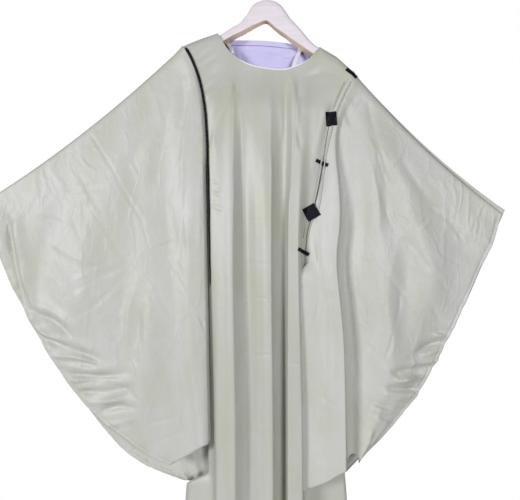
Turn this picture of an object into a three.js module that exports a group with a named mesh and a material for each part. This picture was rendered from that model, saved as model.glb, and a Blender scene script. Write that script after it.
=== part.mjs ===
// A butterfly abaya in pale sage satin, hung on a wooden hanger with its wing sleeves held out.
// Millimetres, +Z up, the front faces -Y. The origin is where the hook bears on what it hangs from.
// Every cloth piece is a thin wall of its own, worked out from the seams, edges and folds below.
import * as THREE from "three";

// Driving sizes
const clothWall = 1.5;
const seamGap = 0.4;
const hemHeight = -1570;
const armholeFoot = -425;
const collarHeight = -260;
const foldStart = -236;
const leftSeamTop = -176;
const rightSeamTop = -236;
const chestHeight = -340;
const waistHeight = -662;
const lowHeight = -1125;
const sideMargin = 5;
const wingInset = 3.5;
const wingLap = 2.4;
const facingLap = 2;
const liningLap = 2.6;
const frontClearance = 6;
const backClearance = 8;
const armRounding = 22;
const topEdgeSag = 20;
const meetingDepth = clothWall / 2 + seamGap / 2;
const armholeClosing = 110;
const collarBlend = 0.6;
const lastRowGap = 20;
const stripWall = 1;
const ribbonWall = 0.8;

const colours = {
  satin: 0xb9bbb2,
  lining: 0xc9c6e6,
  ribbon: 0xeeeaf2,
  black: 0x1c1b2b,
  wood: 0xdccfc8,
  steel: 0xb8babd,
};

// A table is a list of rows under named columns.
function table(columns, rows) {
  return rows.map((row) => Object.fromEntries(columns.map((column, place) => [column, row[place]])));
}

const clamp = THREE.MathUtils.clamp;
const mix = THREE.MathUtils.lerp;
const smooth = (value, low, high) => THREE.MathUtils.smoothstep(value, low, high);

// A curve through the given values that never overshoots them, level beyond its ends.
function curveThrough(keys, values) {
  const last = keys.length - 1;
  const slopes = keys.slice(1).map((key, place) => (values[place + 1] - values[place]) / (key - keys[place]));
  const tangents = keys.map((key, place) => {
    if (place === 0) return slopes[0];
    if (place === last) return slopes[last - 1];
    const before = slopes[place - 1];
    const after = slopes[place];
    return before * after <= 0 ? 0 : (2 * before * after) / (before + after);
  });
  return (key) => {
    if (key <= keys[0]) return values[0];
    if (key >= keys[last]) return values[last];
    let place = 0;
    while (key > keys[place + 1]) place += 1;
    const span = keys[place + 1] - keys[place];
    const t = (key - keys[place]) / span;
    const rise = t * t * (3 - 2 * t);
    const start = t * (1 - t) * (1 - t) * span * tangents[place];
    const end = t * t * (t - 1) * span * tangents[place + 1];
    return mix(values[place], values[place + 1], rise) + start + end;
  };
}

// The same curve, for one column of a table against another.
function column(rows, keyColumn, valueColumn) {
  const sorted = [...rows].sort((a, b) => a[keyColumn] - b[keyColumn]);
  return curveThrough(sorted.map((row) => row[keyColumn]), sorted.map((row) => row[valueColumn]));
}

// Where the cloth lies over the hanger: the ridge line of both shoulders, carried on through the neck
const shoulderLine = column(table(["x", "z"], [
  [-205, -182],
  [-194, -176],
  [-150, -158],
  [-114, -145],
  [-60, -118],
  [0, -90],
  [78, -128],
  [130, -177],
  [168, -200],
  [209, -236],
  [216, -243],
]), "x", "z");

const leftNeckPoint = -114;
const rightNeckPoint = 130;

const frontNeckline = column(table(["x", "z"], [
  [-114, -145],
  [-101, -169],
  [-79, -199],
  [-45, -222],
  [-12, -231],
  [41, -237],
  [78, -227],
  [102, -213],
  [124, -188],
  [130, -177],
]), "x", "z");

const backNeckline = column(table(["x", "z"], [
  [-114, -145],
  [-90, -151],
  [-30, -153],
  [61, -160],
  [112, -172],
  [130, -177],
]), "x", "z");

// The seams where the wings are sewn to the body, and the body's side seams below the armholes
const leftSeam = column(table(["z", "x"], [
  [-176, -194],
  [-214, -172],
  [-250, -158],
  [-298, -146],
  [-357, -139],
  [-428, -135],
  [-662, -130],
  [-952, -126],
  [-1225, -123],
  [-1570, -125],
]), "z", "x");

const rightSeam = column(table(["z", "x"], [
  [-236, 207],
  [-258, 194],
  [-298, 172],
  [-338, 155],
  [-381, 145],
  [-452, 133],
  [-522, 119],
  [-574, 107],
  [-639, 93],
  [-686, 89],
  [-896, 91],
  [-1570, 94],
]), "z", "x");

const leftSide = column(table(["z", "x"], [
  [-425, -143],
  [-662, -143],
  [-1125, -136],
  [-1192, -136],
  [-1224, -188],
  [-1570, -202],
]), "z", "x");

const rightSide = column(table(["z", "x"], [
  [-425, 145],
  [-662, 118],
  [-1100, 130],
  [-1145, 132],
  [-1194, 191],
  [-1570, 210],
]), "z", "x");

// The hanger's wood, cut across at each x: its top, its underside and half its thickness
const hangerCuts = table(["x", "top", "bottom", "half"], [
  [-187, -184, -197, 8],
  [-182, -180, -203, 15],
  [-165, -170, -201, 20],
  [-150, -163, -193, 20],
  [-114, -153, -175, 17],
  [-78, -131, -155, 16],
  [-60, -120, -146, 15],
  [-48, -106, -140, 15],
  [-41, -97, -136, 14],
  [-35, -85, -133, 14],
  [-26, -74, -128, 13],
  [-14, -67, -122, 12],
  [2, -63, -116, 12],
  [24, -67, -132, 13],
  [38, -77, -143, 14],
  [50, -92, -151, 14],
  [60, -108, -159, 15],
  [78, -127, -172, 16],
  [112, -167.5, -196, 17],
  [140, -188, -215, 18],
  [160, -202, -229, 20],
  [178, -216, -243, 20],
  [194, -231, -252, 16],
  [200, -239, -250, 8],
]);
const armHalf = column(hangerCuts.slice(2, -3), "x", "half");

// The long folds of each body panel. A row is one line down the cloth: a crest or the floor of a hollow.
const foldColumns = ["xTop", "xChest", "yChest", "xWaist", "yWaist", "xLow", "yLow", "xHem", "yHem"];

const frontFolds = table(foldColumns, [
  [-160, -118, -34, -112, -42, -112, -44, -113, -42],
  [-114, -97, -36, -97, -48, -94, -51, -96, -50],
  [-92, -75, -40, -79, -56, -72, -60, -74, -58],
  [-64, -54, -34, -48, -26, -42, -24, -44, -26],
  [-30, -24, -38, -18, -44, -14, -46, -16, -46],
  [6, 11, -42, 9, -56, 13, -60, 14, -60],
  [42, 47, -30, 44, -22, 47, -16, 48, -18],
  [62, 66, -46, 58, -58, 57, -62, 58, -60],
  [84, 88, -44, 76, -57, 84.5, -61, 86, -58],
  [110, 114, -36, 83, -44, 88, -44, 90, -42],
  [130, 138, -38, 88, -34, 89.6, -34, 91.5, -32],
]);

const backFolds = table(foldColumns, [
  [-160, -120, 34, -108, 46, -102, 50, -104, 52],
  [-114, -92, 35, -80, 34, -76, 30, -78, 30],
  [-72, -58, 38, -46, 50, -44, 56, -46, 58],
  [-24, -16, 33, -12, 32, -10, 28, -10, 28],
  [28, 30, 40, 24, 50, 24, 56, 26, 58],
  [76, 78, 34, 52, 34, 56, 30, 58, 30],
  [130, 122, 36, 74, 42, 78, 46, 80, 46],
]);

// How deep the wing seams and side seams lie at the four heights
const seamDepths = { chest: 28, waist: 32, low: 16, hem: 14 };

function levelCurve(chest, waist, low, hem) {
  return curveThrough([hemHeight, lowHeight, waistHeight, chestHeight], [hem, low, waist, chest]);
}

// All the lines of a panel from its left side to its right, each with its x and y at any height
function panelLines(folds, side) {
  const closing = (z) => smooth(z, armholeFoot - armholeClosing, armholeFoot);
  const seamDepth = levelCurve(seamDepths.chest, seamDepths.waist, seamDepths.low, seamDepths.hem);
  const sideDepth = (z) => side * mix(meetingDepth, seamDepth(z), closing(z));
  const leftEdge = (z) => {
    const margin = leftSeam(z) - sideMargin;
    return z > armholeFoot ? margin : Math.min(leftSide(z), margin);
  };
  const rightEdge = (z) => {
    const margin = rightSeam(z) + sideMargin;
    return z > armholeFoot ? margin : Math.max(rightSide(z), margin);
  };
  const inner = folds.map((row) => ({
    xTop: row.xTop,
    x: levelCurve(row.xChest, row.xWaist, row.xLow, row.xHem),
    y: levelCurve(row.yChest, row.yWaist, row.yLow, row.yHem),
  }));
  return [
    { xTop: leftSeam(leftSeamTop) - sideMargin, x: leftEdge, y: sideDepth },
    { xTop: leftSeam(leftSeamTop), x: leftSeam, y: (z) => side * seamDepth(z) },
    ...inner,
    { xTop: rightSeam(rightSeamTop), x: rightSeam, y: (z) => side * seamDepth(z) },
    { xTop: rightSeam(rightSeamTop) + sideMargin, x: rightEdge, y: sideDepth },
  ];
}

// A body panel: its lines, its top edge, and the depth of its middle surface at any point
function bodyPanel(folds, side, neckline, clearance) {
  const lines = panelLines(folds, side);
  const top = (x) => (x > leftNeckPoint && x < rightNeckPoint ? neckline(x) : shoulderLine(x));
  const overHanger = (x, z) => {
    const drop = clamp((shoulderLine(x) - z) / armRounding, 0, 1);
    const round = Math.sqrt(1 - (1 - drop) * (1 - drop));
    return side * mix(meetingDepth, armHalf(x) + clearance, round);
  };
  const depth = (x, z) => {
    const hanging = curveThrough(lines.map((line) => line.x(z)), lines.map((line) => line.y(z)))(x);
    return mix(hanging, overHanger(x, z), smooth(z, chestHeight, foldStart));
  };
  const outwards = (x, z) => {
    const reach = 0.5;
    const acrossSlope = (depth(x + reach, z) - depth(x - reach, z)) / (2 * reach);
    const downSlope = (depth(x, z) - depth(x, z - 2 * reach)) / (2 * reach);
    return new THREE.Vector3(-side * acrossSlope, side, -side * downSlope).normalize();
  };
  return { lines, top, depth, side, outwards };
}

const front = bodyPanel(frontFolds, -1, frontNeckline, frontClearance);
const back = bodyPanel(backFolds, 1, backNeckline, backClearance);

// The rows of the cloth: shares of the way from its top edge down to the collar height, then heights
const topShares = [0, 0.02, 0.06, 0.12, 0.2, 0.35, 0.6, 1];
const rowHeights = [
  -298, -340, -382, -425, -470, -535, -600, -662, -740, -830, -930, -1030, -1125,
  -1190, -1224, -1270, -1340, -1455, hemHeight,
];

// The rows of points of a panel, from its top edge to its hem, with so many steps from each line to the next
function panelGrid(panel, stepsBetweenLines) {
  const columns = [];
  stepsBetweenLines.forEach((steps, place) => {
    for (let step = 0; step < steps; step += 1) columns.push(place + step / steps);
  });
  columns.push(panel.lines.length - 1);
  const between = (values, at) => {
    const place = Math.min(Math.floor(at), values.length - 2);
    return mix(values[place], values[place + 1], at - place);
  };
  const tops = panel.lines.map((line) => line.xTop);
  const atCollar = panel.lines.map((line) => line.x(collarHeight));
  const firstFold = 2;
  const lastFold = panel.lines.length - 3;
  for (let place = firstFold; place <= lastFold; place += 1) {
    atCollar[place] = mix(tops[place], atCollar[place], collarBlend);
  }
  const upper = topShares.map((share) => {
    const across = panel.lines.map((line, place) => {
      const free = place >= firstFold && place <= lastFold;
      if (free) return mix(tops[place], atCollar[place], share);
      return line.x(mix(panel.top(tops[place]), collarHeight, share));
    });
    return columns.map((at) => {
      const x = between(across, at);
      const z = mix(panel.top(between(tops, at)), collarHeight, share);
      return new THREE.Vector3(x, panel.depth(x, z), z);
    });
  });
  const lower = rowHeights.map((z) => {
    const settle = smooth(z, chestHeight, collarHeight);
    return columns.map((at) => {
      const x = mix(between(panel.lines.map((line) => line.x(z)), at), between(atCollar, at), settle);
      return new THREE.Vector3(x, panel.depth(x, z), z);
    });
  });
  return [...upper, ...lower];
}

// The two layers of each wing. Near the body a row gives a fold line's distance out from the seam, its depth
// and its lift above the straight row, at five levels from the shoulder to the bottom hem.
const levels = [0.02, 0.12, 0.35, 0.65, 1];
const nearColumns = ["out0", "out1", "out2", "out3", "out4", "y0", "y1", "y2", "y3", "y4", "lift"];
const farColumns = ["share", "y0", "y1", "y2", "y3", "y4"];

const leftFrontNear = table(nearColumns, [
  [8, 7, 6, 5, 4, 27, 34, 45, 47, 42, 0],
  [34, 36, 38, 36, 16, 19, 36, 50, 54, 48, 4],
  [86, 94, 98, 80, 34, 13, 27, 36, 40, 36, 2],
]);

const rightFrontNear = table(nearColumns, [
  [6, 5, 28, 42, 40, 27, 33, 46, 52, 54, 3],
  [11, 9, 50, 76, 80, 26, 35, 56, 62, 62, 10],
  [16, 13, 58, 84, 88, 24, 35, 58, 64, 64, 10],
  [26, 24, 66, 91, 96, 21, 27, 27, 26, 28, 20],
  [42, 44, 84, 110, 108, 18, 25, 22, 20, 22, 26],
  [84, 100, 128, 160, 122, 13, 32, 38, 36, 28, 14],
]);

const leftBackNear = table(nearColumns, [
  [12, 12, 12, 12, 6, 29, 34, 44, 46, 36, 0],
  [40, 42, 44, 40, 22, 20, 36, 50, 54, 38, 0],
  [90, 98, 104, 84, 36, 13, 28, 36, 40, 30, 0],
]);

const rightBackNear = table(nearColumns, [
  [12, 14, 30, 40, 34, 29, 34, 44, 46, 30, 0],
  [40, 46, 70, 84, 60, 20, 34, 50, 52, 26, 0],
  [88, 100, 120, 130, 84, 13, 28, 34, 38, 18, 0],
]);

const frontFar = table(farColumns, [
  [0.22, 10, 26, 42, 40, 32],
  [0.42, 8, 20, 30, 34, 28],
  [0.62, 6, 14, 26, 28, 26],
  [0.82, 4, 9, 15, 18, 22],
  [1, 2, 4, 8, 12, 18],
]);

const backFar = table(farColumns, [
  [0.22, 10, 24, 38, 42, 34],
  [0.42, 8, 20, 34, 36, 30],
  [0.62, 6, 13, 24, 28, 26],
  [0.82, 4, 9, 16, 20, 24],
  [1, 2, 4, 8, 12, 20],
]);

// The outer edges, from the tip of each wing round to the bottom of its hem
const edgeColumns = ["x", "z"];

const leftTip = [-670, -545];
const rightFrontTip = [568, -574];
const rightBackTip = [576, -566];

const leftFrontEdge = table(edgeColumns, [
  leftTip,
  [-629, -691],
  [-568, -818],
  [-482, -960],
  [-395, -1062],
  [-333, -1107],
  [-273, -1149],
  [-224, -1170],
]);

const leftBackEdge = table(edgeColumns, [
  leftTip,
  [-629, -691],
  [-568, -818],
  [-482, -960],
  [-406, -1074],
  [-341, -1149],
  [-283, -1188],
  [-197, -1223],
]);

const rightFrontEdge = table(edgeColumns, [
  rightFrontTip,
  [548, -638],
  [514, -710],
  [446, -853],
  [367, -996],
  [312, -1067],
  [280, -1102],
  [223, -1159],
]);

const rightBackEdge = table(edgeColumns, [
  rightBackTip,
  [548, -638],
  [514, -710],
  [446, -853],
  [367, -996],
  [312, -1067],
  [250, -1147],
  [199, -1202],
]);

// Soft folds that fan out across a wing, each a straight trough (deep > 0) or ridge (deep < 0)
const fanColumns = ["x0", "z0", "x1", "z1", "half", "deep"];

const leftFan = table(fanColumns, [
  [-300, -360, -330, -980, 34, 7],
  [-380, -440, -460, -900, 40, -8],
  [-460, -480, -560, -800, 36, 6],
  [-250, -700, -300, -1140, 36, -8],
]);

const rightFan = table(fanColumns, [
  [250, -300, 330, -760, 30, 7],
  [300, -400, 420, -800, 34, -8],
  [380, -440, 500, -700, 34, 6],
  [250, -720, 330, -1000, 34, -7],
]);

// How far a point is pushed in by a list of soft folds
function fanDepth(folds, x, z) {
  return folds.reduce((sum, fold) => {
    const run = new THREE.Vector2(fold.x1 - fold.x0, fold.z1 - fold.z0);
    const from = new THREE.Vector2(x - fold.x0, z - fold.z0);
    const length = run.length();
    const along = from.dot(run) / (length * length);
    const across = from.cross(run) / length;
    const ends = smooth(along, -0.1, 0.3) * (1 - smooth(along, 0.7, 1.1));
    return sum + fold.deep * ends * Math.exp(-(across * across) / (fold.half * fold.half));
  }, 0);
}

// One layer of a wing: the point at share u out from its seam and share v down its seam
function wingLayer({ panel, seam, outward, seamTop, seamFoot, near, far, edge, fan }) {
  const side = panel.side;
  const corners = edge.map((row) => new THREE.Vector3(row.x, 0, row.z));
  const edgeCurve = new THREE.CatmullRomCurve3(corners, false, "centripetal");
  const byLevel = (row, name) => curveThrough(levels, levels.map((level, place) => row[name + place]));
  const nearLines = near.map((row) => ({ out: byLevel(row, "out"), y: byLevel(row, "y"), lift: row.lift }));
  const farLines = far.map((row) => ({ share: row.share, y: byLevel(row, "y") }));
  const ridgeZ = shoulderLine(seam(seamTop) + outward * wingInset);
  const point = (at, v) => {
    const panelZ = mix(ridgeZ, seamFoot, v);
    const panelX = seam(panelZ) + outward * wingInset;
    const lapped = new THREE.Vector3(panelX, panel.depth(panelX, panelZ), panelZ);
    lapped.addScaledVector(panel.outwards(panelX, panelZ), wingLap);
    const seamX = lapped.x;
    const seamY = lapped.y;
    const seamZ = lapped.z;
    const rim = edgeCurve.getPointAt(v);
    const width = Math.abs(rim.x - seamX);
    const outs = [0, ...nearLines.map((line) => line.out(v))];
    const reach = outs[outs.length - 1];
    farLines.forEach((line) => outs.push(mix(reach, width, line.share)));
    const topDrop = clamp((v * (ridgeZ - seamFoot)) / armRounding, 0, 1);
    const round = Math.sqrt(1 - (1 - topDrop) * (1 - topDrop));
    const depths = [Math.abs(seamY)];
    const lifts = [0, ...nearLines.map((line) => line.lift), ...farLines.map(() => 0)];
    [...nearLines, ...farLines].forEach((line) => depths.push(meetingDepth + line.y(v) * round));
    const places = outs.map((out, place) => place);
    const out = curveThrough(places, outs)(at);
    const share = out / width;
    const sag = topEdgeSag * 4 * share * (1 - share) * Math.pow(1 - v, 3);
    const lift = curveThrough(places, lifts)(at) * Math.pow(v, 8);
    const x = seamX + outward * out;
    const z = mix(seamZ, rim.z, share) - sag + lift;
    const calm = smooth(share, 0.02, 0.2) * smooth(v, 0.03, 0.25);
    const y = side * (curveThrough(outs, depths)(out) - calm * fanDepth(fan, x, z));
    return new THREE.Vector3(x, y, z);
  };
  const heights = [...topShares.map((share) => mix(ridgeZ, collarHeight, share)), ...rowHeights];
  const above = heights.filter((z) => z > seamFoot + lastRowGap);
  const rowShares = [...above, seamFoot].map((z) => (z - ridgeZ) / (seamFoot - ridgeZ));
  return { point, nearCount: nearLines.length, farCount: farLines.length, rowShares };
}

// The rows of points of a wing layer, with so many steps between its near lines and between its far ones
function wingGrid(layer, nearSteps, farSteps) {
  const columns = [];
  for (let step = 0; step < layer.nearCount * nearSteps; step += 1) columns.push(step / nearSteps);
  const lastStep = layer.farCount * farSteps;
  for (let step = 0; step <= lastStep; step += 1) columns.push(layer.nearCount + step / farSteps);
  return layer.rowShares.map((v) => columns.map((at) => layer.point(at, v)));
}

const wings = {
  sleeve_left_front: wingLayer({
    panel: front, seam: leftSeam, outward: -1, seamTop: leftSeamTop, seamFoot: -1110, near: leftFrontNear,
    far: frontFar, edge: leftFrontEdge, fan: leftFan,
  }),
  sleeve_left_back: wingLayer({
    panel: back, seam: leftSeam, outward: -1, seamTop: leftSeamTop, seamFoot: -1241, near: leftBackNear,
    far: backFar, edge: leftBackEdge, fan: leftFan,
  }),
  sleeve_right_front: wingLayer({
    panel: front, seam: rightSeam, outward: 1, seamTop: rightSeamTop, seamFoot: -1221, near: rightFrontNear,
    far: frontFar, edge: rightFrontEdge, fan: rightFan,
  }),
  sleeve_right_back: wingLayer({
    panel: back, seam: rightSeam, outward: 1, seamTop: rightSeamTop, seamFoot: -1248, near: rightBackNear,
    far: backFar, edge: rightBackEdge, fan: rightFan,
  }),
};

// A closed mesh from a list of points and the corner numbers of its triangles
function closedGeometry(points, corners) {
  const geometry = new THREE.BufferGeometry();
  const numbers = points.flatMap((point) => point.toArray());
  geometry.setAttribute("position", new THREE.Float32BufferAttribute(numbers, 3));
  geometry.setIndex(corners);
  geometry.computeVertexNormals();
  return geometry;
}

// The direction square to a grid's surface at each of its points
function gridNormals(grid) {
  const lastRow = grid.length - 1;
  const lastColumn = grid[0].length - 1;
  return grid.map((row, i) => row.map((point, j) => {
    const down = grid[Math.min(i + 1, lastRow)][j].clone().sub(grid[Math.max(i - 1, 0)][j]);
    const across = row[Math.min(j + 1, lastColumn)].clone().sub(row[Math.max(j - 1, 0)]);
    return across.cross(down).normalize();
  }));
}

// A wall of even thickness about a grid of points, closed along its four edges
function wallGeometry(grid, thickness) {
  const rows = grid.length;
  const columns = grid[0].length;
  const normals = gridNormals(grid);
  const moved = (offset) => (point, i, j) => point.clone().addScaledVector(normals[i][j], offset);
  const layer = (offset) => grid.flatMap((row, i) => row.map((point, j) => moved(offset)(point, i, j)));
  const points = [...layer(thickness / 2), ...layer(-thickness / 2)];
  const near = (i, j) => i * columns + j;
  const far = (i, j) => rows * columns + near(i, j);
  const corners = [];
  const quad = (a, b, c, d) => corners.push(a, b, c, a, c, d);
  for (let i = 0; i + 1 < rows; i += 1) {
    for (let j = 0; j + 1 < columns; j += 1) {
      quad(near(i, j), near(i, j + 1), near(i + 1, j + 1), near(i + 1, j));
      quad(far(i, j), far(i + 1, j), far(i + 1, j + 1), far(i, j + 1));
    }
  }
  for (let i = 0; i + 1 < rows; i += 1) {
    quad(near(i, 0), near(i + 1, 0), far(i + 1, 0), far(i, 0));
    quad(near(i + 1, columns - 1), near(i, columns - 1), far(i, columns - 1), far(i + 1, columns - 1));
  }
  for (let j = 0; j + 1 < columns; j += 1) {
    quad(near(0, j + 1), near(0, j), far(0, j), far(0, j + 1));
    quad(near(rows - 1, j), near(rows - 1, j + 1), far(rows - 1, j + 1), far(rows - 1, j));
  }
  return closedGeometry(points, corners);
}

// A solid through a list of rings with the same number of points, closed by a flat end at each side
function ringGeometry(rings) {
  const sides = rings[0].length;
  const points = rings.flat();
  const corners = [];
  for (let i = 0; i + 1 < rings.length; i += 1) {
    for (let j = 0; j < sides; j += 1) {
      const next = (j + 1) % sides;
      const a = i * sides + j;
      const b = i * sides + next;
      corners.push(a, b, b + sides, a, b + sides, a + sides);
    }
  }
  [0, rings.length - 1].forEach((end) => {
    const centre = points.length;
    points.push(rings[end].reduce((sum, point) => sum.add(point), new THREE.Vector3()).divideScalar(sides));
    for (let j = 0; j < sides; j += 1) {
      const a = end * sides + j;
      const b = end * sides + (j + 1) % sides;
      corners.push(...(end === 0 ? [centre, b, a] : [centre, a, b]));
    }
  });
  return closedGeometry(points, corners);
}

// Turns every face over, for a grid or a set of rings that runs the other way round
function turnedOver(geometry) {
  const index = geometry.getIndex();
  for (let i = 0; i < index.count; i += 3) {
    const second = index.getX(i + 1);
    index.setX(i + 1, index.getX(i + 2));
    index.setX(i + 2, second);
  }
  return geometry;
}

function facingOut(geometry) {
  const position = geometry.getAttribute("position");
  const index = geometry.getIndex();
  const corner = (place) => new THREE.Vector3().fromBufferAttribute(position, index.getX(place));
  let volume = 0;
  for (let i = 0; i < index.count; i += 3) volume += corner(i).dot(corner(i + 1).cross(corner(i + 2)));
  return volume < 0 ? turnedOver(geometry) : geometry;
}

function finish(colour, roughness, metalness = 0) {
  return new THREE.MeshStandardMaterial({ color: colour, roughness, metalness });
}

const abaya = new THREE.Group();

function addPiece(name, geometry, material) {
  const mesh = new THREE.Mesh(facingOut(geometry), material);
  mesh.name = name;
  abaya.add(mesh);
}

// Body panels
const frontGrid = panelGrid(front, [2, 2, 2, 4, 2, 2, 2, 2, 2, 1, 2, 4, 2, 4]);
const backGrid = panelGrid(back, [2, 2, 1, 4, 2, 2, 2, 5, 1, 4]);
addPiece("front", wallGeometry(frontGrid, clothWall), finish(colours.satin, 0.45));
addPiece("back", wallGeometry(backGrid, clothWall), finish(colours.satin, 0.45));

// Wings
const wingSteps = {
  sleeve_left_front: [2, 2],
  sleeve_left_back: [2, 1],
  sleeve_right_front: [1, 2],
  sleeve_right_back: [2, 1],
};
const wingGrids = {};
Object.entries(wings).forEach(([name, layer]) => {
  wingGrids[name] = wingGrid(layer, ...wingSteps[name]);
  addPiece(name, wallGeometry(wingGrids[name], clothWall), finish(colours.satin, 0.45));
});

// Pieces inside the neck, each made from its panel's surface moved inwards
function innerStrip(panel, xs, topAt, heights, lap) {
  return heights.map((drop) => xs.map((x) => {
    const z = topAt(x) - drop;
    return new THREE.Vector3(x, panel.depth(x, z) - panel.side * lap, z);
  }));
}

function evenly(from, to, count) {
  return Array.from({ length: count + 1 }, (unused, step) => mix(from, to, step / count));
}

const facingRise = column(table(["x", "rise"], [
  [-92, 1],
  [-40, 4],
  [60, 4],
  [116, 1],
]), "x", "rise");
const facingTop = (x) => frontNeckline(x) + facingRise(x);
const facingDrops = [0, 8, 20];
const facingGrid = innerStrip(front, evenly(-92, 116, 18), facingTop, facingDrops, facingLap);
addPiece("neck_facing_front", wallGeometry(facingGrid, stripWall), finish(colours.ribbon, 0.5));

const bandDrops = [-1, 11];
const bandGrid = innerStrip(back, evenly(-88, 104, 14), backNeckline, bandDrops, liningLap);
addPiece("neck_band_back", wallGeometry(bandGrid, stripWall), finish(colours.lining, 0.5));

const liningDrops = [12, 30, 60, 95, 130];
const liningGrid = innerStrip(back, evenly(-92, 108, 14), backNeckline, liningDrops, liningLap);
addPiece("back_lining", wallGeometry(liningGrid, stripWall), finish(colours.lining, 0.4));

// Ribbon loops: a flat strip along a route, with its width along X
function stripGeometry(route, width, thickness) {
  const curve = new THREE.CatmullRomCurve3(route.map((point) => new THREE.Vector3(...point)));
  const steps = 10;
  const grid = evenly(0, 1, steps).map((share) => {
    const middle = curve.getPoint(share);
    const left = middle.clone().add(new THREE.Vector3(-width / 2, 0, 0));
    const right = middle.clone().add(new THREE.Vector3(width / 2, 0, 0));
    return [left, middle, right];
  });
  return wallGeometry(grid, thickness);
}

const leftLoopRoute = [[-76, -17, -196], [-80, -8, -184], [-86, 6, -170], [-90, 18, -160], [-92, 20.4, -146]];
const rightLoopRoute = [[68, -17, -228], [74, -6, -206], [80, 8, -189], [85, 18.6, -177], [88, 19.6, -160]];
const leftLoopWidth = 8;
const rightLoopWidth = 10;
const leftLoop = stripGeometry(leftLoopRoute, leftLoopWidth, ribbonWall);
const rightLoop = stripGeometry(rightLoopRoute, rightLoopWidth, ribbonWall);
addPiece("hanger_loop_left", leftLoop, finish(colours.ribbon, 0.35));
addPiece("hanger_loop_right", rightLoop, finish(colours.ribbon, 0.35));

// What lies on the front: the most forward point of the cloth beneath it, found from the grids
function gridSamples(grid, cuts) {
  const samples = [];
  for (let i = 0; i + 1 < grid.length; i += 1) {
    for (let j = 0; j + 1 < grid[0].length; j += 1) {
      for (let a = 0; a < cuts; a += 1) {
        for (let b = 0; b < cuts; b += 1) {
          const above = grid[i][j].clone().lerp(grid[i][j + 1], b / cuts);
          const below = grid[i + 1][j].clone().lerp(grid[i + 1][j + 1], b / cuts);
          samples.push(above.lerp(below, a / cuts));
        }
      }
    }
  }
  return samples;
}

const sampleCuts = 10;
const trimsEnd = -800;
const upperSamples = (grid) => gridSamples(grid, sampleCuts).filter((point) => point.z > trimsEnd);
const frontSamples = upperSamples(frontGrid);
const rightSamples = [...frontSamples, ...upperSamples(wingGrids.sleeve_right_front)];

// The front of the cloth at a place: the least y near it, less half a wall on the slope
function clothFront(samples, x, z, reach) {
  const slopeAllowance = 0.2;
  const reachDown = 8;
  const close = samples.filter((point) => Math.abs(point.x - x) < reach && Math.abs(point.z - z) < reachDown);
  return Math.min(...close.map((point) => point.y)) - clothWall / 2 - slopeAllowance;
}

// A cord or piping down a seam: rings that lie level, round or flattened
function seamCord(samples, route, half, lift, reach) {
  const sides = 8;
  return ringGeometry(route.map((place) => {
    const y = clothFront(samples, place.x, place.z, reach) - lift(place.z) - half.depth;
    return Array.from({ length: sides }, (unused, side) => {
      const turn = (side / sides) * 2 * Math.PI;
      const x = place.x + half.width * Math.cos(turn);
      return new THREE.Vector3(x, y + half.depth * Math.sin(turn), place.z);
    });
  }));
}

const pipingTop = -186;
const pipingFoot = -745;
const pipingAside = 0.6;
const pipingHalf = { width: 3, depth: 1.7 };
const pipingReach = 5;
const pipingRoute = evenly(pipingTop, pipingFoot, 24).map((z) => ({ x: leftSeam(z) + pipingAside, z }));
const pipingCord = seamCord(frontSamples, pipingRoute, pipingHalf, () => 0, pipingReach);
addPiece("piping_left", pipingCord, finish(colours.black, 0.5));

// The pair of cords and the black patches on the right seam
const barMiddle = { x: 132.5, z: -458.5, width: 30, height: 8, turn: -24 };
const cordColumns = ["z", "x"];
const innerCord = column(table(cordColumns, [
  [-262, 189],
  [-286, 176],
  [-322, 162],
  [-374, 147],
  [-451, 132],
  [-499, 125],
  [-553, 114],
  [-597, 99],
  [-632, 90],
]), "z", "x");
const outerCord = column(table(cordColumns, [
  [-266, 201],
  [-291, 188],
  [-327, 172],
  [-374, 157],
  [-451, 140],
  [-499, 135],
  [-562, 125],
  [-597, 108],
  [-635, 98],
]), "z", "x");
const cordHalf = 1.4;
const patchWall = 1;
const barReach = 4.5;
const squareReach = 6;
const cordReach = 3;
const cordTop = -268;
const cordFoot = -632;
const cordClearance = 0.2;
const riseOverBar = 6.5;
const riseHalf = 15;
const overBar = (z) => cordClearance + riseOverBar * Math.exp(-Math.pow((z - barMiddle.z) / riseHalf, 2));
const cordSection = { width: cordHalf, depth: cordHalf };
[["tuck_cord_inner", innerCord], ["tuck_cord_outer", outerCord]].forEach(([name, cordX]) => {
  const route = evenly(cordTop, cordFoot, 28).map((z) => ({ x: cordX(z), z }));
  addPiece(name, seamCord(rightSamples, route, cordSection, overBar, cordReach), finish(colours.satin, 0.45));
});

// A patch is a small wall that follows the cloth under it, turned in the plane of the front
function patchGeometry({ x, z, width, height, turn }, lift, reach) {
  const angle = THREE.MathUtils.degToRad(turn);
  const cuts = 4;
  const across = evenly(-width / 2, width / 2, cuts);
  const grid = evenly(height / 2, -height / 2, cuts).map((v) => across.map((u) => {
    const px = x + u * Math.cos(angle) - v * Math.sin(angle);
    const pz = z + u * Math.sin(angle) + v * Math.cos(angle);
    return new THREE.Vector3(px, clothFront(rightSamples, px, pz, reach) - lift - patchWall / 2, pz);
  }));
  return wallGeometry(grid, patchWall);
}

const onCloth = 0.3;
const underCords = -0.8;
const overCords = 2 * cordHalf + onCloth;
const pressedOnCords = 2.4 + onCloth;
const patches = {
  bar_top: [{ x: 203.5, z: -246, width: 32, height: 8, turn: -38 }, onCloth, barReach],
  bar_middle: [barMiddle, underCords, barReach],
  bar_low: [{ x: 89, z: -666, width: 30, height: 8, turn: -27 }, onCloth, barReach],
  square_top: [{ x: 154.5, z: -355.5, width: 25, height: 33, turn: 5 }, overCords, squareReach],
  square_low: [{ x: 107.5, z: -574, width: 32, height: 32, turn: 30 }, pressedOnCords, squareReach],
};
Object.entries(patches).forEach(([name, [place, lift, reach]]) => {
  addPiece(name, patchGeometry(place, lift, reach), finish(colours.black, 0.4));
});

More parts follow.
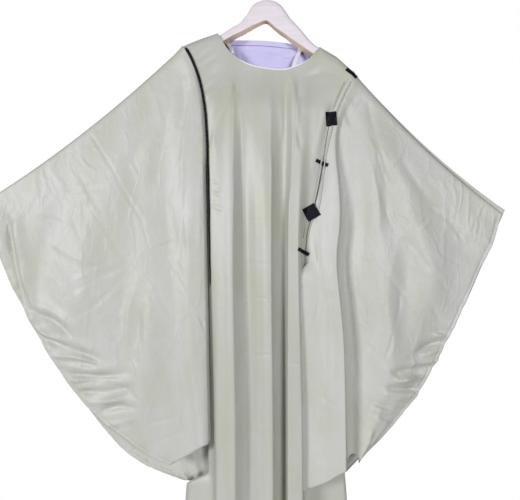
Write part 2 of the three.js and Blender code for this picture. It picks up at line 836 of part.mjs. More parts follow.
// The hanger: rounded cuts along the arms, and a bent wire hook
const cutSides = 14;
const roundTop = 0.8;
const flatUnderside = 0.4;
const rounded = (value, squareness) => Math.sign(value) * Math.pow(Math.abs(value), squareness);
const woodRings = hangerCuts.map((cut) => Array.from({ length: cutSides }, (unused, side) => {
  const turn = (side / cutSides) * 2 * Math.PI;
  const middle = (cut.top + cut.bottom) / 2;
  const halfHeight = (cut.top - cut.bottom) / 2;
  const squareness = Math.sin(turn) < 0 ? flatUnderside : roundTop;
  const y = cut.half * rounded(Math.cos(turn), squareness);
  return new THREE.Vector3(cut.x, y, middle + halfHeight * rounded(Math.sin(turn), squareness));
}));
addPiece("hanger_wood", ringGeometry(woodRings), finish(colours.wood, 0.6));

const wireRadius = 2;
const hookRadius = 22;
const hookFoot = 2;
const woodTop = hangerCuts.find((cut) => cut.x === hookFoot).top;
const hookBend = evenly(-60, 205, 9).map((degrees) => {
  const angle = THREE.MathUtils.degToRad(degrees);
  const radius = hookRadius + wireRadius;
  return new THREE.Vector3(radius * Math.cos(angle), 0, -hookRadius + radius * Math.sin(angle));
});
const hookRoute = new THREE.CatmullRomCurve3([
  new THREE.Vector3(hookFoot, 0, woodTop + seamGap),
  new THREE.Vector3(hookFoot + 1, 0, woodTop + 9),
  ...hookBend,
]);
const wireShape = new THREE.Shape();
wireShape.absarc(0, 0, wireRadius, 0, 2 * Math.PI, false);
const hookGeometry = new THREE.ExtrudeGeometry(wireShape, {
  steps: 32,
  curveSegments: 5,
  bevelEnabled: false,
  extrudePath: hookRoute,
});
const hook = new THREE.Mesh(hookGeometry, finish(colours.steel, 0.3, 1));
hook.name = "hanger_hook";
abaya.add(hook);

export default abaya;
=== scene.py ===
# %% [markdown]
# # A satin butterfly abaya on a wooden hanger
#
# A butterfly abaya is one wide dress: a narrow body, and at each side a wing of cloth that falls from the
# shoulder to far below the wrist. This lesson dresses the plain solids of the frame with fine cloth.
# Sizes are in millimetres in the tables, and in metres in Blender.

# %% Load the frame
import math

import bpy
import numpy as np
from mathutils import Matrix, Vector


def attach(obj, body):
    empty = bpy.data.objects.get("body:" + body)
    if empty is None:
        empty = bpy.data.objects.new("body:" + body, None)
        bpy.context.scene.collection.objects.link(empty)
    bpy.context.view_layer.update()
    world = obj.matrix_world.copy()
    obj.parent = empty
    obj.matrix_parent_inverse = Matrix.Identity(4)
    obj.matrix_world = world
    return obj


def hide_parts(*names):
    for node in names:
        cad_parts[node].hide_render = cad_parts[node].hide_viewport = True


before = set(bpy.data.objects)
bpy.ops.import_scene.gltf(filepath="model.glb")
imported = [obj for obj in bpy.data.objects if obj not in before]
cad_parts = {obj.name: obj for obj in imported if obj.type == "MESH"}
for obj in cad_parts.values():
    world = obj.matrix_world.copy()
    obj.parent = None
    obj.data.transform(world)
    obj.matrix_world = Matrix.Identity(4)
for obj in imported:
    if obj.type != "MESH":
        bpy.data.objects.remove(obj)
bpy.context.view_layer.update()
print("nodes in the frame:", len(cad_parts))

# %% [markdown]
# ## The camera
#
# The garment is seen level and straight from the front, close enough for its nearer folds to look bigger.
# A camera turned a quarter turn about X looks along +Y, and the lens follows from how far away it stands
# and how wide a picture it takes in.

# %% Place the camera
camera_distance = 1.300
camera_height = -0.662
camera_aside = -0.012
picture_width = 1.248
sensor_width = 36.0

camera_data = bpy.data.cameras.new("front_camera")
camera_data.sensor_width = sensor_width
camera_data.lens = sensor_width * camera_distance / picture_width
camera = bpy.data.objects.new("front_camera", camera_data)
camera.location = (camera_aside, -camera_distance, camera_height)
camera.rotation_euler = (math.radians(90), 0, 0)
bpy.context.scene.collection.objects.link(camera)
bpy.context.scene.camera = camera
print("lens in mm:", round(camera_data.lens, 1))

# %% [markdown]
# ## Helpers for nodes, colours and materials
#
# A material is a small graph of nodes. One helper adds a node with its settings and its links, so that each
# finish below reads as a short list. Colours are written as they look on a screen, in hex, and turned into
# the linear values that light works with.

# %% A colour and a node
def linear(hex_colour):
    """A screen colour such as "c8c9bd" as linear red, green, blue and alpha."""
    parts = [int(hex_colour[place:place + 2], 16) / 255 for place in (0, 2, 4)]
    lit = [part / 12.92 if part <= 0.04045 else ((part + 0.055) / 1.055) ** 2.4 for part in parts]
    return (*lit, 1.0)


def add_node(owner, kind, settings=None, links=None):
    """Adds a node to a material or world. Settings are values or options, links are outputs, by input."""
    tree = owner.node_tree
    node = tree.nodes.new(kind)
    for name, value in (settings or {}).items():
        if name in node.inputs:
            node.inputs[name].default_value = value
        else:
            setattr(node, name, value)
    for name, output in (links or {}).items():
        tree.links.new(output, node.inputs[name])
    return node


def new_material(name):
    """A material with an empty node tree."""
    material = bpy.data.materials.new(name)
    material.use_nodes = True
    material.node_tree.nodes.clear()
    return material


def two_shades(material, value, low, high, shades):
    """A colour that goes from the first shade to the second while a value rises from low to high."""
    ramp = add_node(material, "ShaderNodeValToRGB", links={"Fac": value})
    for stop, place, shade in zip(ramp.color_ramp.elements, (low, high), shades):
        stop.position = place
        stop.color = linear(shade)
    return ramp.outputs["Color"]


def paint(material, settings, links=None):
    """Ends a material's graph with a surface."""
    surface = add_node(material, "ShaderNodeBsdfPrincipled", settings, links)
    add_node(material, "ShaderNodeOutputMaterial", links={"Surface": surface.outputs["BSDF"]})
    return material


print("sage in linear light:", [round(part, 3) for part in linear("c4c5b8")])

# %% [markdown]
# ## Satin
#
# Satin floats its threads over the surface, so it is smooth and has a soft, broad shine with a paler bloom
# at grazing angles. Here that is a fairly rough gloss with some sheen. Cloth is never one even colour: a
# slow noise moves it a little between near shades, greener in one place and more lavender in another. Small
# soft bumps stand for the crumple, and the sharp borders of a cell pattern for wrinkles too fine to model.

# %% The satin and its lining
wrinkle_warp = (0.09, 0.09, 0.09)
wrinkle_stretch = (1.0, 1.0, 0.28)
wrinkle_width = 0.11
wrinkle_layers = [(14.0, 40, 1.0), (34.0, -28, 0.4), (22.0, 68, 0.7)]


def satin(name, shades, roughness, sheen, crumple, wrinkles, gloss=0.55):
    """Woven satin in two near shades, with a fine crumple and sharper wrinkles, both in metres."""
    material = new_material(name)
    where = add_node(material, "ShaderNodeTexCoord").outputs["Object"]
    hanging = add_node(material, "ShaderNodeMapping", {"Scale": (1.0, 1.0, 0.4)}, {"Vector": where})
    drift = add_node(material, "ShaderNodeTexNoise", {"Scale": 16.0, "Detail": 4.0},
                     {"Vector": hanging.outputs["Vector"]})
    colour = two_shades(material, drift.outputs["Fac"], 0.34, 0.66, shades)
    soft = add_node(material, "ShaderNodeTexNoise", {"Scale": 34.0, "Detail": 4.0, "Roughness": 0.6},
                    {"Vector": where})
    bump = add_node(material, "ShaderNodeBump", {"Strength": 0.5, "Distance": crumple},
                    {"Height": soft.outputs["Fac"]})
    warp = add_node(material, "ShaderNodeTexNoise", {"Scale": 6.0, "Detail": 3.0}, {"Vector": where})
    warped = add_node(material, "ShaderNodeVectorMath", {"operation": "MULTIPLY_ADD"},
                      {0: warp.outputs["Color"], 2: where})
    warped.inputs[1].default_value = wrinkle_warp
    for scale, turn, share in wrinkle_layers:
        slant = add_node(material, "ShaderNodeMapping",
                         {"Rotation": (0.0, math.radians(turn), 0.0), "Scale": wrinkle_stretch},
                         {"Vector": warped.outputs["Vector"]})
        cells = add_node(material, "ShaderNodeTexVoronoi", {"feature": "DISTANCE_TO_EDGE", "Scale": scale},
                         {"Vector": slant.outputs["Vector"]})
        line = add_node(material, "ShaderNodeMapRange",
                        {"From Max": wrinkle_width, "To Min": 1.0, "To Max": 0.0},
                        {"Value": cells.outputs["Distance"]})
        patches = add_node(material, "ShaderNodeTexNoise", {"Scale": scale * 0.9, "Detail": 1.0},
                           {"Vector": slant.outputs["Vector"]})
        kept = add_node(material, "ShaderNodeMapRange", {"From Min": 0.44, "From Max": 0.7},
                        {"Value": patches.outputs["Fac"]})
        faded = add_node(material, "ShaderNodeMath", {"operation": "MULTIPLY"},
                         {0: line.outputs["Result"], 1: kept.outputs["Result"]})
        bump = add_node(material, "ShaderNodeBump", {"Strength": 0.6, "Distance": share * wrinkles},
                        {"Height": faded.outputs["Value"], "Normal": bump.outputs["Normal"]})
    look = {"Roughness": roughness, "Sheen Weight": sheen, "Sheen Roughness": 0.4,
            "Specular IOR Level": gloss}
    return paint(material, look, {"Base Color": colour, "Normal": bump.outputs["Normal"]})


sage_satin = satin("sage_satin", ("b6b9aa", "bcbeb9"), 0.45, 0.15, 0.0014, 0.0004)
# The wings are the body's own cloth, painted paler and more neutral to stand in for the stronger light they
# catch. Only their deeper crumple and wrinkles differ in the cloth itself.
creased_satin_painted_paler = satin("creased_satin_painted_paler", ("bdc0b4", "c5c6c3"), 0.48, 0.15, 0.0026, 0.0019)
lavender_lining = satin("lavender_lining", ("c3c0eb", "cac7f1"), 0.45, 0.2, 0.002, 0.0006)
white_ribbon = satin("white_ribbon", ("e8e5f0", "f2f0f6"), 0.45, 0.3, 0.0005, 0.0003)
black_satin = satin("black_satin", ("0a0a14", "10101c"), 0.5, 0.0, 0.0004, 0.0004, 0.12)
cloths_made = [sage_satin, creased_satin_painted_paler, lavender_lining, white_ribbon, black_satin]
print("cloth finishes:", [material.name for material in cloths_made])

# %% [markdown]
# ## Wood and steel
#
# The hanger is pale sanded beech under a thin clear coat: fine brown grain lines that run along the arms.
# The noise is stretched along X by a Mapping node, so the grain follows the wood. Its underside is a warmer
# beech, painted paler to stand in for light bounced up from below. The hook is bright wire.

# %% The hanger's finishes
def sanded_wood(name, dark, pale):
    """Beech in two near shades, its grain along the arms."""
    material = new_material(name)
    where = add_node(material, "ShaderNodeTexCoord").outputs["Object"]
    along = add_node(material, "ShaderNodeMapping", {"Scale": (7.0, 90.0, 120.0)}, {"Vector": where})
    grain = add_node(material, "ShaderNodeTexNoise", {"Scale": 1.0, "Detail": 5.0, "Distortion": 0.3},
                     {"Vector": along.outputs["Vector"]}).outputs["Fac"]
    colour = two_shades(material, grain, 0.3, 0.62, (dark, pale))
    bump = add_node(material, "ShaderNodeBump", {"Strength": 0.3, "Distance": 0.0003}, {"Height": grain})
    return paint(material, {"Roughness": 0.5, "Coat Weight": 0.2, "Coat Roughness": 0.35},
                 {"Base Color": colour, "Normal": bump.outputs["Normal"]})


beech = sanded_wood("pale_beech", "e2dadf", "e8e2e9")
# The underside's warmer beech is painted paler than the wood, as painted light bounced up from below.
warm_beech_painted_bounce = sanded_wood("warm_beech_painted_bounce", "fbdcb2", "ffe6c4")
steel_look = {"Base Color": linear("c2c4c8"), "Metallic": 1.0, "Roughness": 0.25}
steel_wire = paint(new_material("steel_wire"), steel_look)
print("hanger finishes:", beech.name, warm_beech_painted_bounce.name, steel_wire.name)

# %% [markdown]
# ## Curves through a few readings
#
# The frame's cloth is worked out from seams and fold lines that are read at a few places. A curve that never
# overshoots its readings joins them. The same curve is wanted here, so that the fine cloth lies where the
# plain solids do.

# %% A curve that never overshoots
def curve(keys, values):
    """A smooth curve through the values, level beyond its ends, for a number or an array."""
    order = np.argsort(keys)
    keys = np.asarray(keys, float)[order]
    values = np.asarray(values, float)[order]
    spans = np.diff(keys)
    slopes = np.diff(values) / spans
    tangents = np.empty(len(keys))
    tangents[0], tangents[-1] = slopes[0], slopes[-1]
    for place in range(1, len(keys) - 1):
        before, after = slopes[place - 1], slopes[place]
        tangents[place] = 0 if before * after <= 0 else 2 * before * after / (before + after)

    def at(key):
        key = np.clip(np.asarray(key, float), keys[0], keys[-1])
        place = np.clip(np.searchsorted(keys, key, side="left") - 1, 0, len(keys) - 2)
        t = (key - keys[place]) / spans[place]
        rise = t * t * (3 - 2 * t)
        start = t * (1 - t) * (1 - t) * spans[place] * tangents[place]
        end = t * t * (t - 1) * spans[place] * tangents[place + 1]
        return values[place] + (values[place + 1] - values[place]) * rise + start + end

    return at


def pairs(rows):
    """A curve from rows of two numbers: where, and the value there."""
    return curve([row[0] for row in rows], [row[1] for row in rows])


def smooth(value, low, high):
    """Rises softly from 0 at low to 1 at high."""
    t = np.clip((np.asarray(value, float) - low) / (high - low), 0, 1)
    return t * t * (3 - 2 * t)


def mix(a, b, share):
    """The value a share of the way from a to b."""
    return a + (b - a) * share


print("halfway up a soft rise:", float(smooth(5, 0, 10)))

# %% [markdown]
# ## The lines of the garment
#
# Where the cloth lies over the hanger, the two necklines, and the seams where the wings join the body. Each
# row is a place and a value in millimetres: x and height for the first three, height and x for the seams.

# %% Shoulders, necklines and seams
shoulder_line = pairs([(-205, -182), (-194, -176), (-150, -158), (-114, -145), (-60, -118), (0, -90),
                       (78, -128), (130, -177), (168, -200), (209, -236), (216, -243)])
front_neckline = pairs([(-114, -145), (-101, -169), (-79, -199), (-45, -222), (-12, -231), (41, -237),
                        (78, -227), (102, -213), (124, -188), (130, -177)])
back_neckline = pairs([(-114, -145), (-90, -151), (-30, -153), (61, -160), (112, -172), (130, -177)])
left_seam = pairs([(-176, -194), (-214, -172), (-250, -158), (-298, -146), (-357, -139), (-428, -135),
                   (-662, -130), (-952, -126), (-1225, -123), (-1570, -125)])
right_seam = pairs([(-236, 207), (-258, 194), (-298, 172), (-338, 155), (-381, 145), (-452, 133),
                    (-522, 119), (-574, 107), (-639, 93), (-686, 89), (-896, 91), (-1570, 94)])
left_side = pairs([(-425, -143), (-662, -143), (-1125, -136), (-1192, -136), (-1224, -188), (-1570, -202)])
right_side = pairs([(-425, 145), (-662, 118), (-1100, 130), (-1145, 132), (-1194, 191), (-1570, 210)])

hem_height = -1570
armhole_foot = -425
side_closing = 110
collar_height = -260
fold_start = -236
chest_height = -340
neck_left = -114
neck_right = 130
seam_tops = {"left": -176, "right": -236}
side_margin = 5
arm_rounding = 22
meeting_depth = 0.95
print("neck width in mm:", neck_right - neck_left)

# %% [markdown]
# ## The hanging folds
#
# Below the shoulders the body hangs in long soft folds. Each row is one line down the cloth, a crest or the
# floor of a hollow: its x at the neck where it starts, then its x and depth at chest, waist, calf and hem.

# %% Fold lines of the front and back
fold_levels = [hem_height, -1125, -662, chest_height]
front_folds = [
    (-160, -118, -34, -112, -42, -112, -44, -113, -42),
    (-114, -97, -36, -97, -48, -94, -51, -96, -50),
    (-92, -75, -40, -79, -56, -72, -60, -74, -58),
    (-84, -68, -37, -71, -48, -65, -49, -67, -48),
    (-64, -54, -34, -48, -26, -42, -24, -44, -26),
    (-30, -24, -38, -18, -44, -14, -46, -16, -46),
    (6, 11, -42, 9, -56, 13, -60, 14, -60),
    (14, 20, -38, 15, -49, 19, -51, 20, -51),
    (42, 47, -30, 44, -22, 47, -16, 48, -18),
    (56, 60, -42, 53.5, -42, 54, -44, 55, -44),
    (62, 66, -46, 58, -58, 57, -62, 58, -60),
    (84, 88, -44, 76, -57, 84.5, -61, 86, -58),
    (110, 114, -36, 83, -44, 88, -44, 90, -42),
    (130, 138, -38, 88, -34, 89.6, -34, 91.5, -32),
]
back_folds = [
    (-160, -120, 34, -108, 46, -102, 50, -104, 52),
    (-114, -92, 35, -80, 34, -76, 30, -78, 30),
    (-72, -58, 38, -46, 50, -44, 56, -46, 58),
    (-24, -16, 33, -12, 32, -10, 28, -10, 28),
    (28, 30, 40, 24, 50, 24, 56, 26, 58),
    (76, 78, 34, 52, 34, 56, 30, 58, 30),
    (130, 122, 36, 74, 42, 78, 46, 80, 46),
]
seam_depth = curve(fold_levels, [14, 16, 32, 28])
arm_half = curve([-165, -150, -114, -78, -60, -48, -41, -35, -26, -14, 2, 24, 38, 50, 60, 78, 112, 140, 160],
                 [20, 20, 17, 16, 15, 15, 14, 14, 13, 12, 12, 13, 14, 14, 15, 16, 17, 18, 20])
print("fold lines:", len(front_folds), "in front,", len(back_folds), "behind")

# %% A body panel's surface
class Panel:
    """A body panel: its fold lines, its neckline, and the depth of its cloth at any place."""

    def __init__(self, folds, side, neckline, clearance):
        self.side = side
        self.neckline = neckline
        self.clearance = clearance
        left, right = left_seam(seam_tops["left"]), right_seam(seam_tops["right"])
        self.tops = [left - side_margin, float(left), *(row[0] for row in folds)]
        self.tops += [float(right), right + side_margin]
        self.xs = [curve(fold_levels, [row[7], row[5], row[3], row[1]]) for row in folds]
        self.ys = [curve(fold_levels, [row[8], row[6], row[4], row[2]]) for row in folds]

    def lines(self, z):
        """The x and depth of every line at one height, from the left side to the right."""
        closing = smooth(z, armhole_foot - side_closing, armhole_foot)
        seam_y = self.side * seam_depth(z)
        side_y = self.side * mix(meeting_depth, seam_depth(z), closing)
        left, right = left_seam(z), right_seam(z)
        low = z <= armhole_foot
        left_edge = min(left_side(z), left - side_margin) if low else left - side_margin
        right_edge = max(right_side(z), right + side_margin) if low else right + side_margin
        xs = [left_edge, left, *(x(z) for x in self.xs), right, right_edge]
        ys = [side_y, seam_y, *(y(z) for y in self.ys), seam_y, side_y]
        return np.array(xs, float), np.array(ys, float)

    def top(self, x):
        """The height of the panel's top edge, at its neckline or over the shoulder."""
        x = np.asarray(x, float)
        return np.where((x > neck_left) & (x < neck_right), self.neckline(x), shoulder_line(x))

    def depth(self, x, z):
        """The depth of the cloth's middle at places x, all at one height z or each at its own."""
        x, z = np.broadcast_arrays(np.asarray(x, float), np.asarray(z, float))
        hanging = np.empty(x.shape)
        for height in np.unique(z):
            here = z == height
            hanging[here] = curve(*self.lines(max(height, hem_height)))(x[here])
        drop = np.clip((shoulder_line(x) - z) / arm_rounding, 0, 1)
        over = self.side * mix(meeting_depth, arm_half(x) + self.clearance, np.sqrt(1 - (1 - drop) ** 2))
        return mix(hanging, over, smooth(z, chest_height, fold_start))


front_panel = Panel(front_folds, -1, front_neckline, 6)
back_panel = Panel(back_folds, 1, back_neckline, 8)
print("front at the waist crest, mm:", round(float(front_panel.depth(9, -662)), 1))

# %% [markdown]
# ## Creases
#
# Satin keeps every crease that packing and hanging leave in it. Each is listed in a table: where it
# starts and ends, how wide it is and how deep, below zero for a ridge. Its depth wanders along its length and
# a low ridge lies beside it, because cloth that goes in at one place comes out at the next.

# %% Soft creases from a table
crease_bow = 0.07
crease_wander = 0.35
ridge_share = 0.4


def by_line(line, x, z):
    """How far along a straight line each place lies, as a share of its length, how far beside it, and that
    length."""
    x0, z0, x1, z1 = line
    run_x, run_z = x1 - x0, z1 - z0
    length = math.hypot(run_x, run_z)
    along = ((x - x0) * run_x + (z - z0) * run_z) / length ** 2
    across = ((x - x0) * run_z - (z - z0) * run_x) / length
    return along, across, length


def crease_field(creases, x, z):
    """How far the creases push the cloth in at each place, in millimetres."""
    pushed = np.zeros(np.shape(x))
    for number, (*line, half, deep) in enumerate(creases):
        along, across, length = by_line(line, x, z)
        near = (along > -0.3) & (along < 1.3)
        along = along[near]
        across = across[near] - crease_bow * length * math.sin(2.4 * number) * 4 * along * (1 - along)
        wander = 0.8 + crease_wander * np.sin(7.0 * along + 1.7 * number)
        ends = smooth(along, -0.15, 0.25) * (1 - smooth(along, 0.7, 1.15))
        trough = np.exp(-np.abs(across / (0.85 * half)) ** 1.35)
        hand = 1 if number % 2 else -1
        ridge = ridge_share * np.exp(-((across - 1.9 * half * hand) / (1.2 * half)) ** 2)
        pushed[near] += deep * ends * wander * (trough - ridge)
    return pushed


def pressed_field(lines, x, z):
    """Sharp lines left by folding the cloth flat, each a chain of corners with a width and a depth."""
    pushed = np.zeros(np.shape(x))
    for corners, half, deep in lines:
        nearest = np.full(np.shape(x), 1e9)
        for (x0, z0), (x1, z1) in zip(corners, corners[1:]):
            run_x, run_z = x1 - x0, z1 - z0
            along = np.clip(((x - x0) * run_x + (z - z0) * run_z) / (run_x ** 2 + run_z ** 2), 0, 1)
            nearest = np.minimum(nearest, np.hypot(x - x0 - along * run_x, z - z0 - along * run_z))
        pushed += deep * (np.exp(-(nearest / half) ** 1.3) - 0.35 * np.exp(-(nearest / (3 * half)) ** 2))
    return pushed


lean_fade = 60


def lean_over(leans, x, z):
    """How far fold crests lean sideways, so that their edge hangs over the hollow beside them."""
    moved = np.zeros(np.shape(x))
    for line, half, reach, low, high in leans:
        from_crest = (x - line(z)) / half
        kept = smooth(z, low - lean_fade, low) * (1 - smooth(z, high - lean_fade, high))
        moved += reach * np.exp(-from_crest ** 2) * kept
    return moved


test_crease = crease_field([(0, 0, 0, -80, 5, 2)], np.array([0.0]), np.array([-40.0]))
print("one crease at its middle, mm:", round(float(test_crease[0]), 2))

# %% [markdown]
# ## A sheet of cloth from a grid
#
# A grid primitive gives a sheet with even squares and a flat map. Its points are then laid where the cloth
# hangs, as a tailor lays a pattern piece on a stand. Solidify gives it a wall, inwards on both sides alike.
# A UV map in metres stays with the cloth, for any weave that should follow it.

# %% Make a sheet
cloth_wall = 1.1
millimetre = 0.001


def cut_size(points):
    """The width and length in metres of a laid sheet along its rows and columns, its folds opened out."""
    width = np.linalg.norm(np.diff(points, axis=1), axis=2).sum(axis=1).max()
    length = np.linalg.norm(np.diff(points, axis=0), axis=2).sum(axis=0).max()
    return width * millimetre, length * millimetre


def make_sheet(name, points, wall, material):
    """A cloth piece from rows of points in millimetres, with a wall about them."""
    rows, columns = points.shape[:2]
    bpy.ops.object.select_all(action="DESELECT")
    bpy.ops.mesh.primitive_grid_add(x_subdivisions=columns - 1, y_subdivisions=rows - 1, size=2,
                                    calc_uvs=True)
    sheet = bpy.context.active_object
    sheet.name = name
    mesh = sheet.data
    flat = np.empty(len(mesh.vertices) * 3)
    mesh.vertices.foreach_get("co", flat)
    flat = flat.reshape(-1, 3)
    column = np.rint((flat[:, 0] + 1) / 2 * (columns - 1)).astype(int)
    row = np.rint((1 - flat[:, 1]) / 2 * (rows - 1)).astype(int)
    laid = points[row, column] * millimetre
    mesh.vertices.foreach_set("co", laid.ravel())
    uv = np.empty(len(mesh.loops) * 2)
    mesh.uv_layers.active.data.foreach_get("uv", uv)
    uv = uv.reshape(-1, 2) * cut_size(points)
    mesh.uv_layers.active.data.foreach_set("uv", uv.ravel())
    mesh.update()
    if wall:
        thick = sheet.modifiers.new("wall", "SOLIDIFY")
        thick.thickness = wall * millimetre
        thick.offset = 0
        bpy.ops.object.modifier_apply(modifier=thick.name)
    bpy.ops.object.shade_smooth()
    mesh.materials.clear()
    mesh.materials.append(material)
    return sheet


def facing(points, side):
    """The rows with their columns turned round where needed, so that the sheet faces front or back."""
    return points if side < 0 else points[:, ::-1]


def sheet_area(points):
    """The area of a laid sheet in square metres."""
    a, b, c, d = points[:-1, :-1], points[:-1, 1:], points[1:, 1:], points[1:, :-1]
    lower = np.linalg.norm(np.cross(b - a, c - a), axis=2)
    upper = np.linalg.norm(np.cross(c - a, d - a), axis=2)
    return float((lower + upper).sum() / 2) * millimetre ** 2


def stand_for(piece, node):
    """Hides the node of the frame that a piece replaces and hangs the piece from the root."""
    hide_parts(node)
    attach(piece, "root")
    return piece


print("cloth wall in mm:", cloth_wall)

# %% [markdown]
# ## The front panel
#
# The front is laid row by row from the shoulders down. Its columns are spread so that each is about as wide
# as the next at the waist. Creases press into it, and three crests lean over the hollows beside them, which
# gives the sharp bright edges of the long folds.

# %% Spread the columns and rows of a panel
yoke_shares = np.concatenate([np.linspace(0, 0.3, 12) ** 1.35, np.linspace(0.24, 1, 16)])
skirt_height = -1260
skirt_rows = 38


def column_places(panel, step):
    """Places between the panel's lines, about so many millimetres apart at the calf."""
    xs = panel.lines(-1000)[0]
    places = []
    for place, gap in enumerate(np.diff(xs)):
        count = max(2, round(gap / step))
        places.extend(place + np.arange(count) / count)
    places.append(len(xs) - 1)
    return np.array(places)


def lay_panel(panel, step, rise):
    """The rows of points of a panel's plain surface, from its top edge to its hem."""
    places = column_places(panel, step)
    count = len(panel.tops)
    tops = np.array(panel.tops, float)
    at_collar = panel.lines(collar_height)[0]
    free = slice(2, count - 2)
    blended = at_collar.copy()
    blended[free] = mix(tops[free], at_collar[free], 0.6)
    line_numbers = np.arange(count)
    top_x = np.interp(places, line_numbers, tops)
    rows = []
    for share in yoke_shares:
        across = np.empty(count)
        for place in range(count):
            if 2 <= place < count - 2:
                across[place] = mix(tops[place], blended[place], share)
            else:
                height = mix(float(panel.top(tops[place])), collar_height, share)
                across[place] = panel.lines(height)[0][place]
        x = np.interp(places, line_numbers, across)
        z = mix(panel.top(top_x), collar_height, share)
        rows.append(np.stack([x, np.zeros_like(x), z], axis=1))
    heights = np.concatenate([np.arange(collar_height - rise, skirt_height + 4, -rise),
                              np.linspace(skirt_height, hem_height, skirt_rows)])
    for z in heights:
        settle = smooth(z, chest_height, collar_height)
        hanging_x = np.interp(places, line_numbers, panel.lines(z)[0])
        x = mix(hanging_x, np.interp(places, line_numbers, blended), settle)
        rows.append(np.stack([x, np.zeros_like(x), np.full_like(x, z)], axis=1))
    points = np.array(rows)
    for number, row in enumerate(points):
        if number < len(yoke_shares):
            points[number, :, 1] = [float(panel.depth(x, z)) for x, z in row[:, [0, 2]]]
        else:
            points[number, :, 1] = panel.depth(row[:, 0], row[:, 2])
    return points


plain_front = lay_panel(front_panel, 2.9, 3.4)
print("front grid:", plain_front.shape[:2], "area in square metres:", round(sheet_area(plain_front), 3))

# %% Creases and leaning folds of the front
front_creases = [
    (-77, -269, -86, -319, 5, -2.5), (-86, -319, -128, -435, 6, -2.5), (-100, -280, -79, -273, 3, 1.5),
    (-156, -303, -100, -227, 6, 2.2), (-142, -315, -91, -250, 5, -2.2), (-160, -245, -116, -208, 5, 2.0),
    (-176, -222, -128, -186, 5, 1.6), (-184, -206, -140, -172, 4, -1.4),
    (-168, -232, -120, -196, 4, -1.4), (-150, -278, -108, -232, 4, 1.4), (-128, -528, -98, -537, 4, 1.8),
    (-128, -547, -100, -558, 4, 1.8), (-128, -565, -102, -579, 4, 1.8), (-130, -505, -108, -502, 4, 1.4),
    (96, -262, 150, -222, 8, 2.0), (84, -300, 128, -252, 9, -2.5), (110, -222, 160, -206, 5, 1.2),
    (46, -250, 50, -430, 5, 2.2), (60, -244, 66, -440, 7, -2.5), (82, -262, 84, -430, 6, 1.6),
    (150, -215, 185, -227, 4, 1.3), (159, -231, 187, -241, 4, 1.2), (-70, -1290, 20, -1284, 6, 2.0),
    (-90, -1420, -10, -1412, 6, 1.8), (30, -1350, 110, -1362, 6, 1.8),
]
front_pressed = [
    (((-40, -593), (-10, -591), (4, -594)), 2.3, 1.1),
    (((-72, -697), (-44, -692), (11, -694)), 2.3, 1.2),
    (((-66, -779), (-30, -771), (4, -775), (14, -790)), 2.3, 1.4),
    (((-8, -836), (-30, -866)), 2.3, 1.1),
    (((-56, -901), (-20, -906), (34, -898)), 2.3, 1.4),
    (((58, -920), (86, -926)), 2.3, 1.2),
    (((-60, -917), (2, -920)), 2.3, 0.7),
    (((-65, -1066), (11, -1061)), 2.5, 1.2),
    (((-70, -1150), (7, -1152)), 2.5, 1.1),
    (((58, -1160), (84, -1163)), 2.3, 1.1),
]
front_leans = [
    (front_panel.xs[6], 7, 3.5, -1700, -420),
    (front_panel.xs[10], 6, -4.5, -1700, -500),
    (front_panel.xs[2], 10, 2.5, -1700, -480),
]


def dress_panel(panel, plain, creases, pressed, leans):
    """The plain panel with its creases and leaning folds, both fading at the seams."""
    x, z = plain[..., 0], plain[..., 2]
    calm = smooth(x - left_seam(z), 3, 16) * smooth(right_seam(z) - x, 3, 16)
    calm = calm * smooth(panel.top(x) - z, 2, 14)
    dressed = plain.copy()
    dressed[..., 1] -= panel.side * calm * (crease_field(creases, x, z) + pressed_field(pressed, x, z))
    dressed[..., 0] += calm * lean_over(leans, x, z)
    return dressed


front_points = dress_panel(front_panel, plain_front, front_creases, front_pressed, front_leans)
front = make_sheet("front_panel", facing(front_points, -1), cloth_wall, sage_satin)
stand_for(front, "front")
print("front triangles:", 2 * len(front.data.polygons))

# %% [markdown]
# ## The back panel
#
# The photograph shows none of the back, so it gets plain long folds and a few creases like the front's.

# %% The back
back_creases = [
    (-70, -520, 20, -512, 5, 1.8), (-60, -760, 30, -768, 5, 2.0), (-20, -905, 60, -898, 5, 1.6),
    (-90, -1040, -10, -1046, 5, 1.8), (10, -1190, 90, -1180, 6, 2.0), (-100, -300, -60, -400, 7, 1.8),
    (60, -290, 100, -390, 7, 1.8), (-80, -1330, 40, -1338, 6, 2.0),
]
back_leans = [
    (back_panel.xs[2], 13, 7, -1700, -480),
    (back_panel.xs[4], 13, -7, -1700, -480),
]
plain_back = lay_panel(back_panel, 3.2, 6.5)
back_points = dress_panel(back_panel, plain_back, back_creases, front_pressed[:2], back_leans)
back = make_sheet("back_panel", facing(back_points, 1), cloth_wall, sage_satin)
stand_for(back, "back")
print("back triangles:", 2 * len(back.data.polygons))

# %% [markdown]
# ## The wings
#
# Each wing is a front and a back layer. A layer starts on its seam and spreads to an outer edge that runs
# from the wrist round to the bottom. Near the body it hangs in deep folds: each row gives how far out a fold
# is at five levels from the shoulder down, how deep it is at each, and how much its foot is lifted. Further
# out the layer only swells softly, and at the outer edge both layers come together.

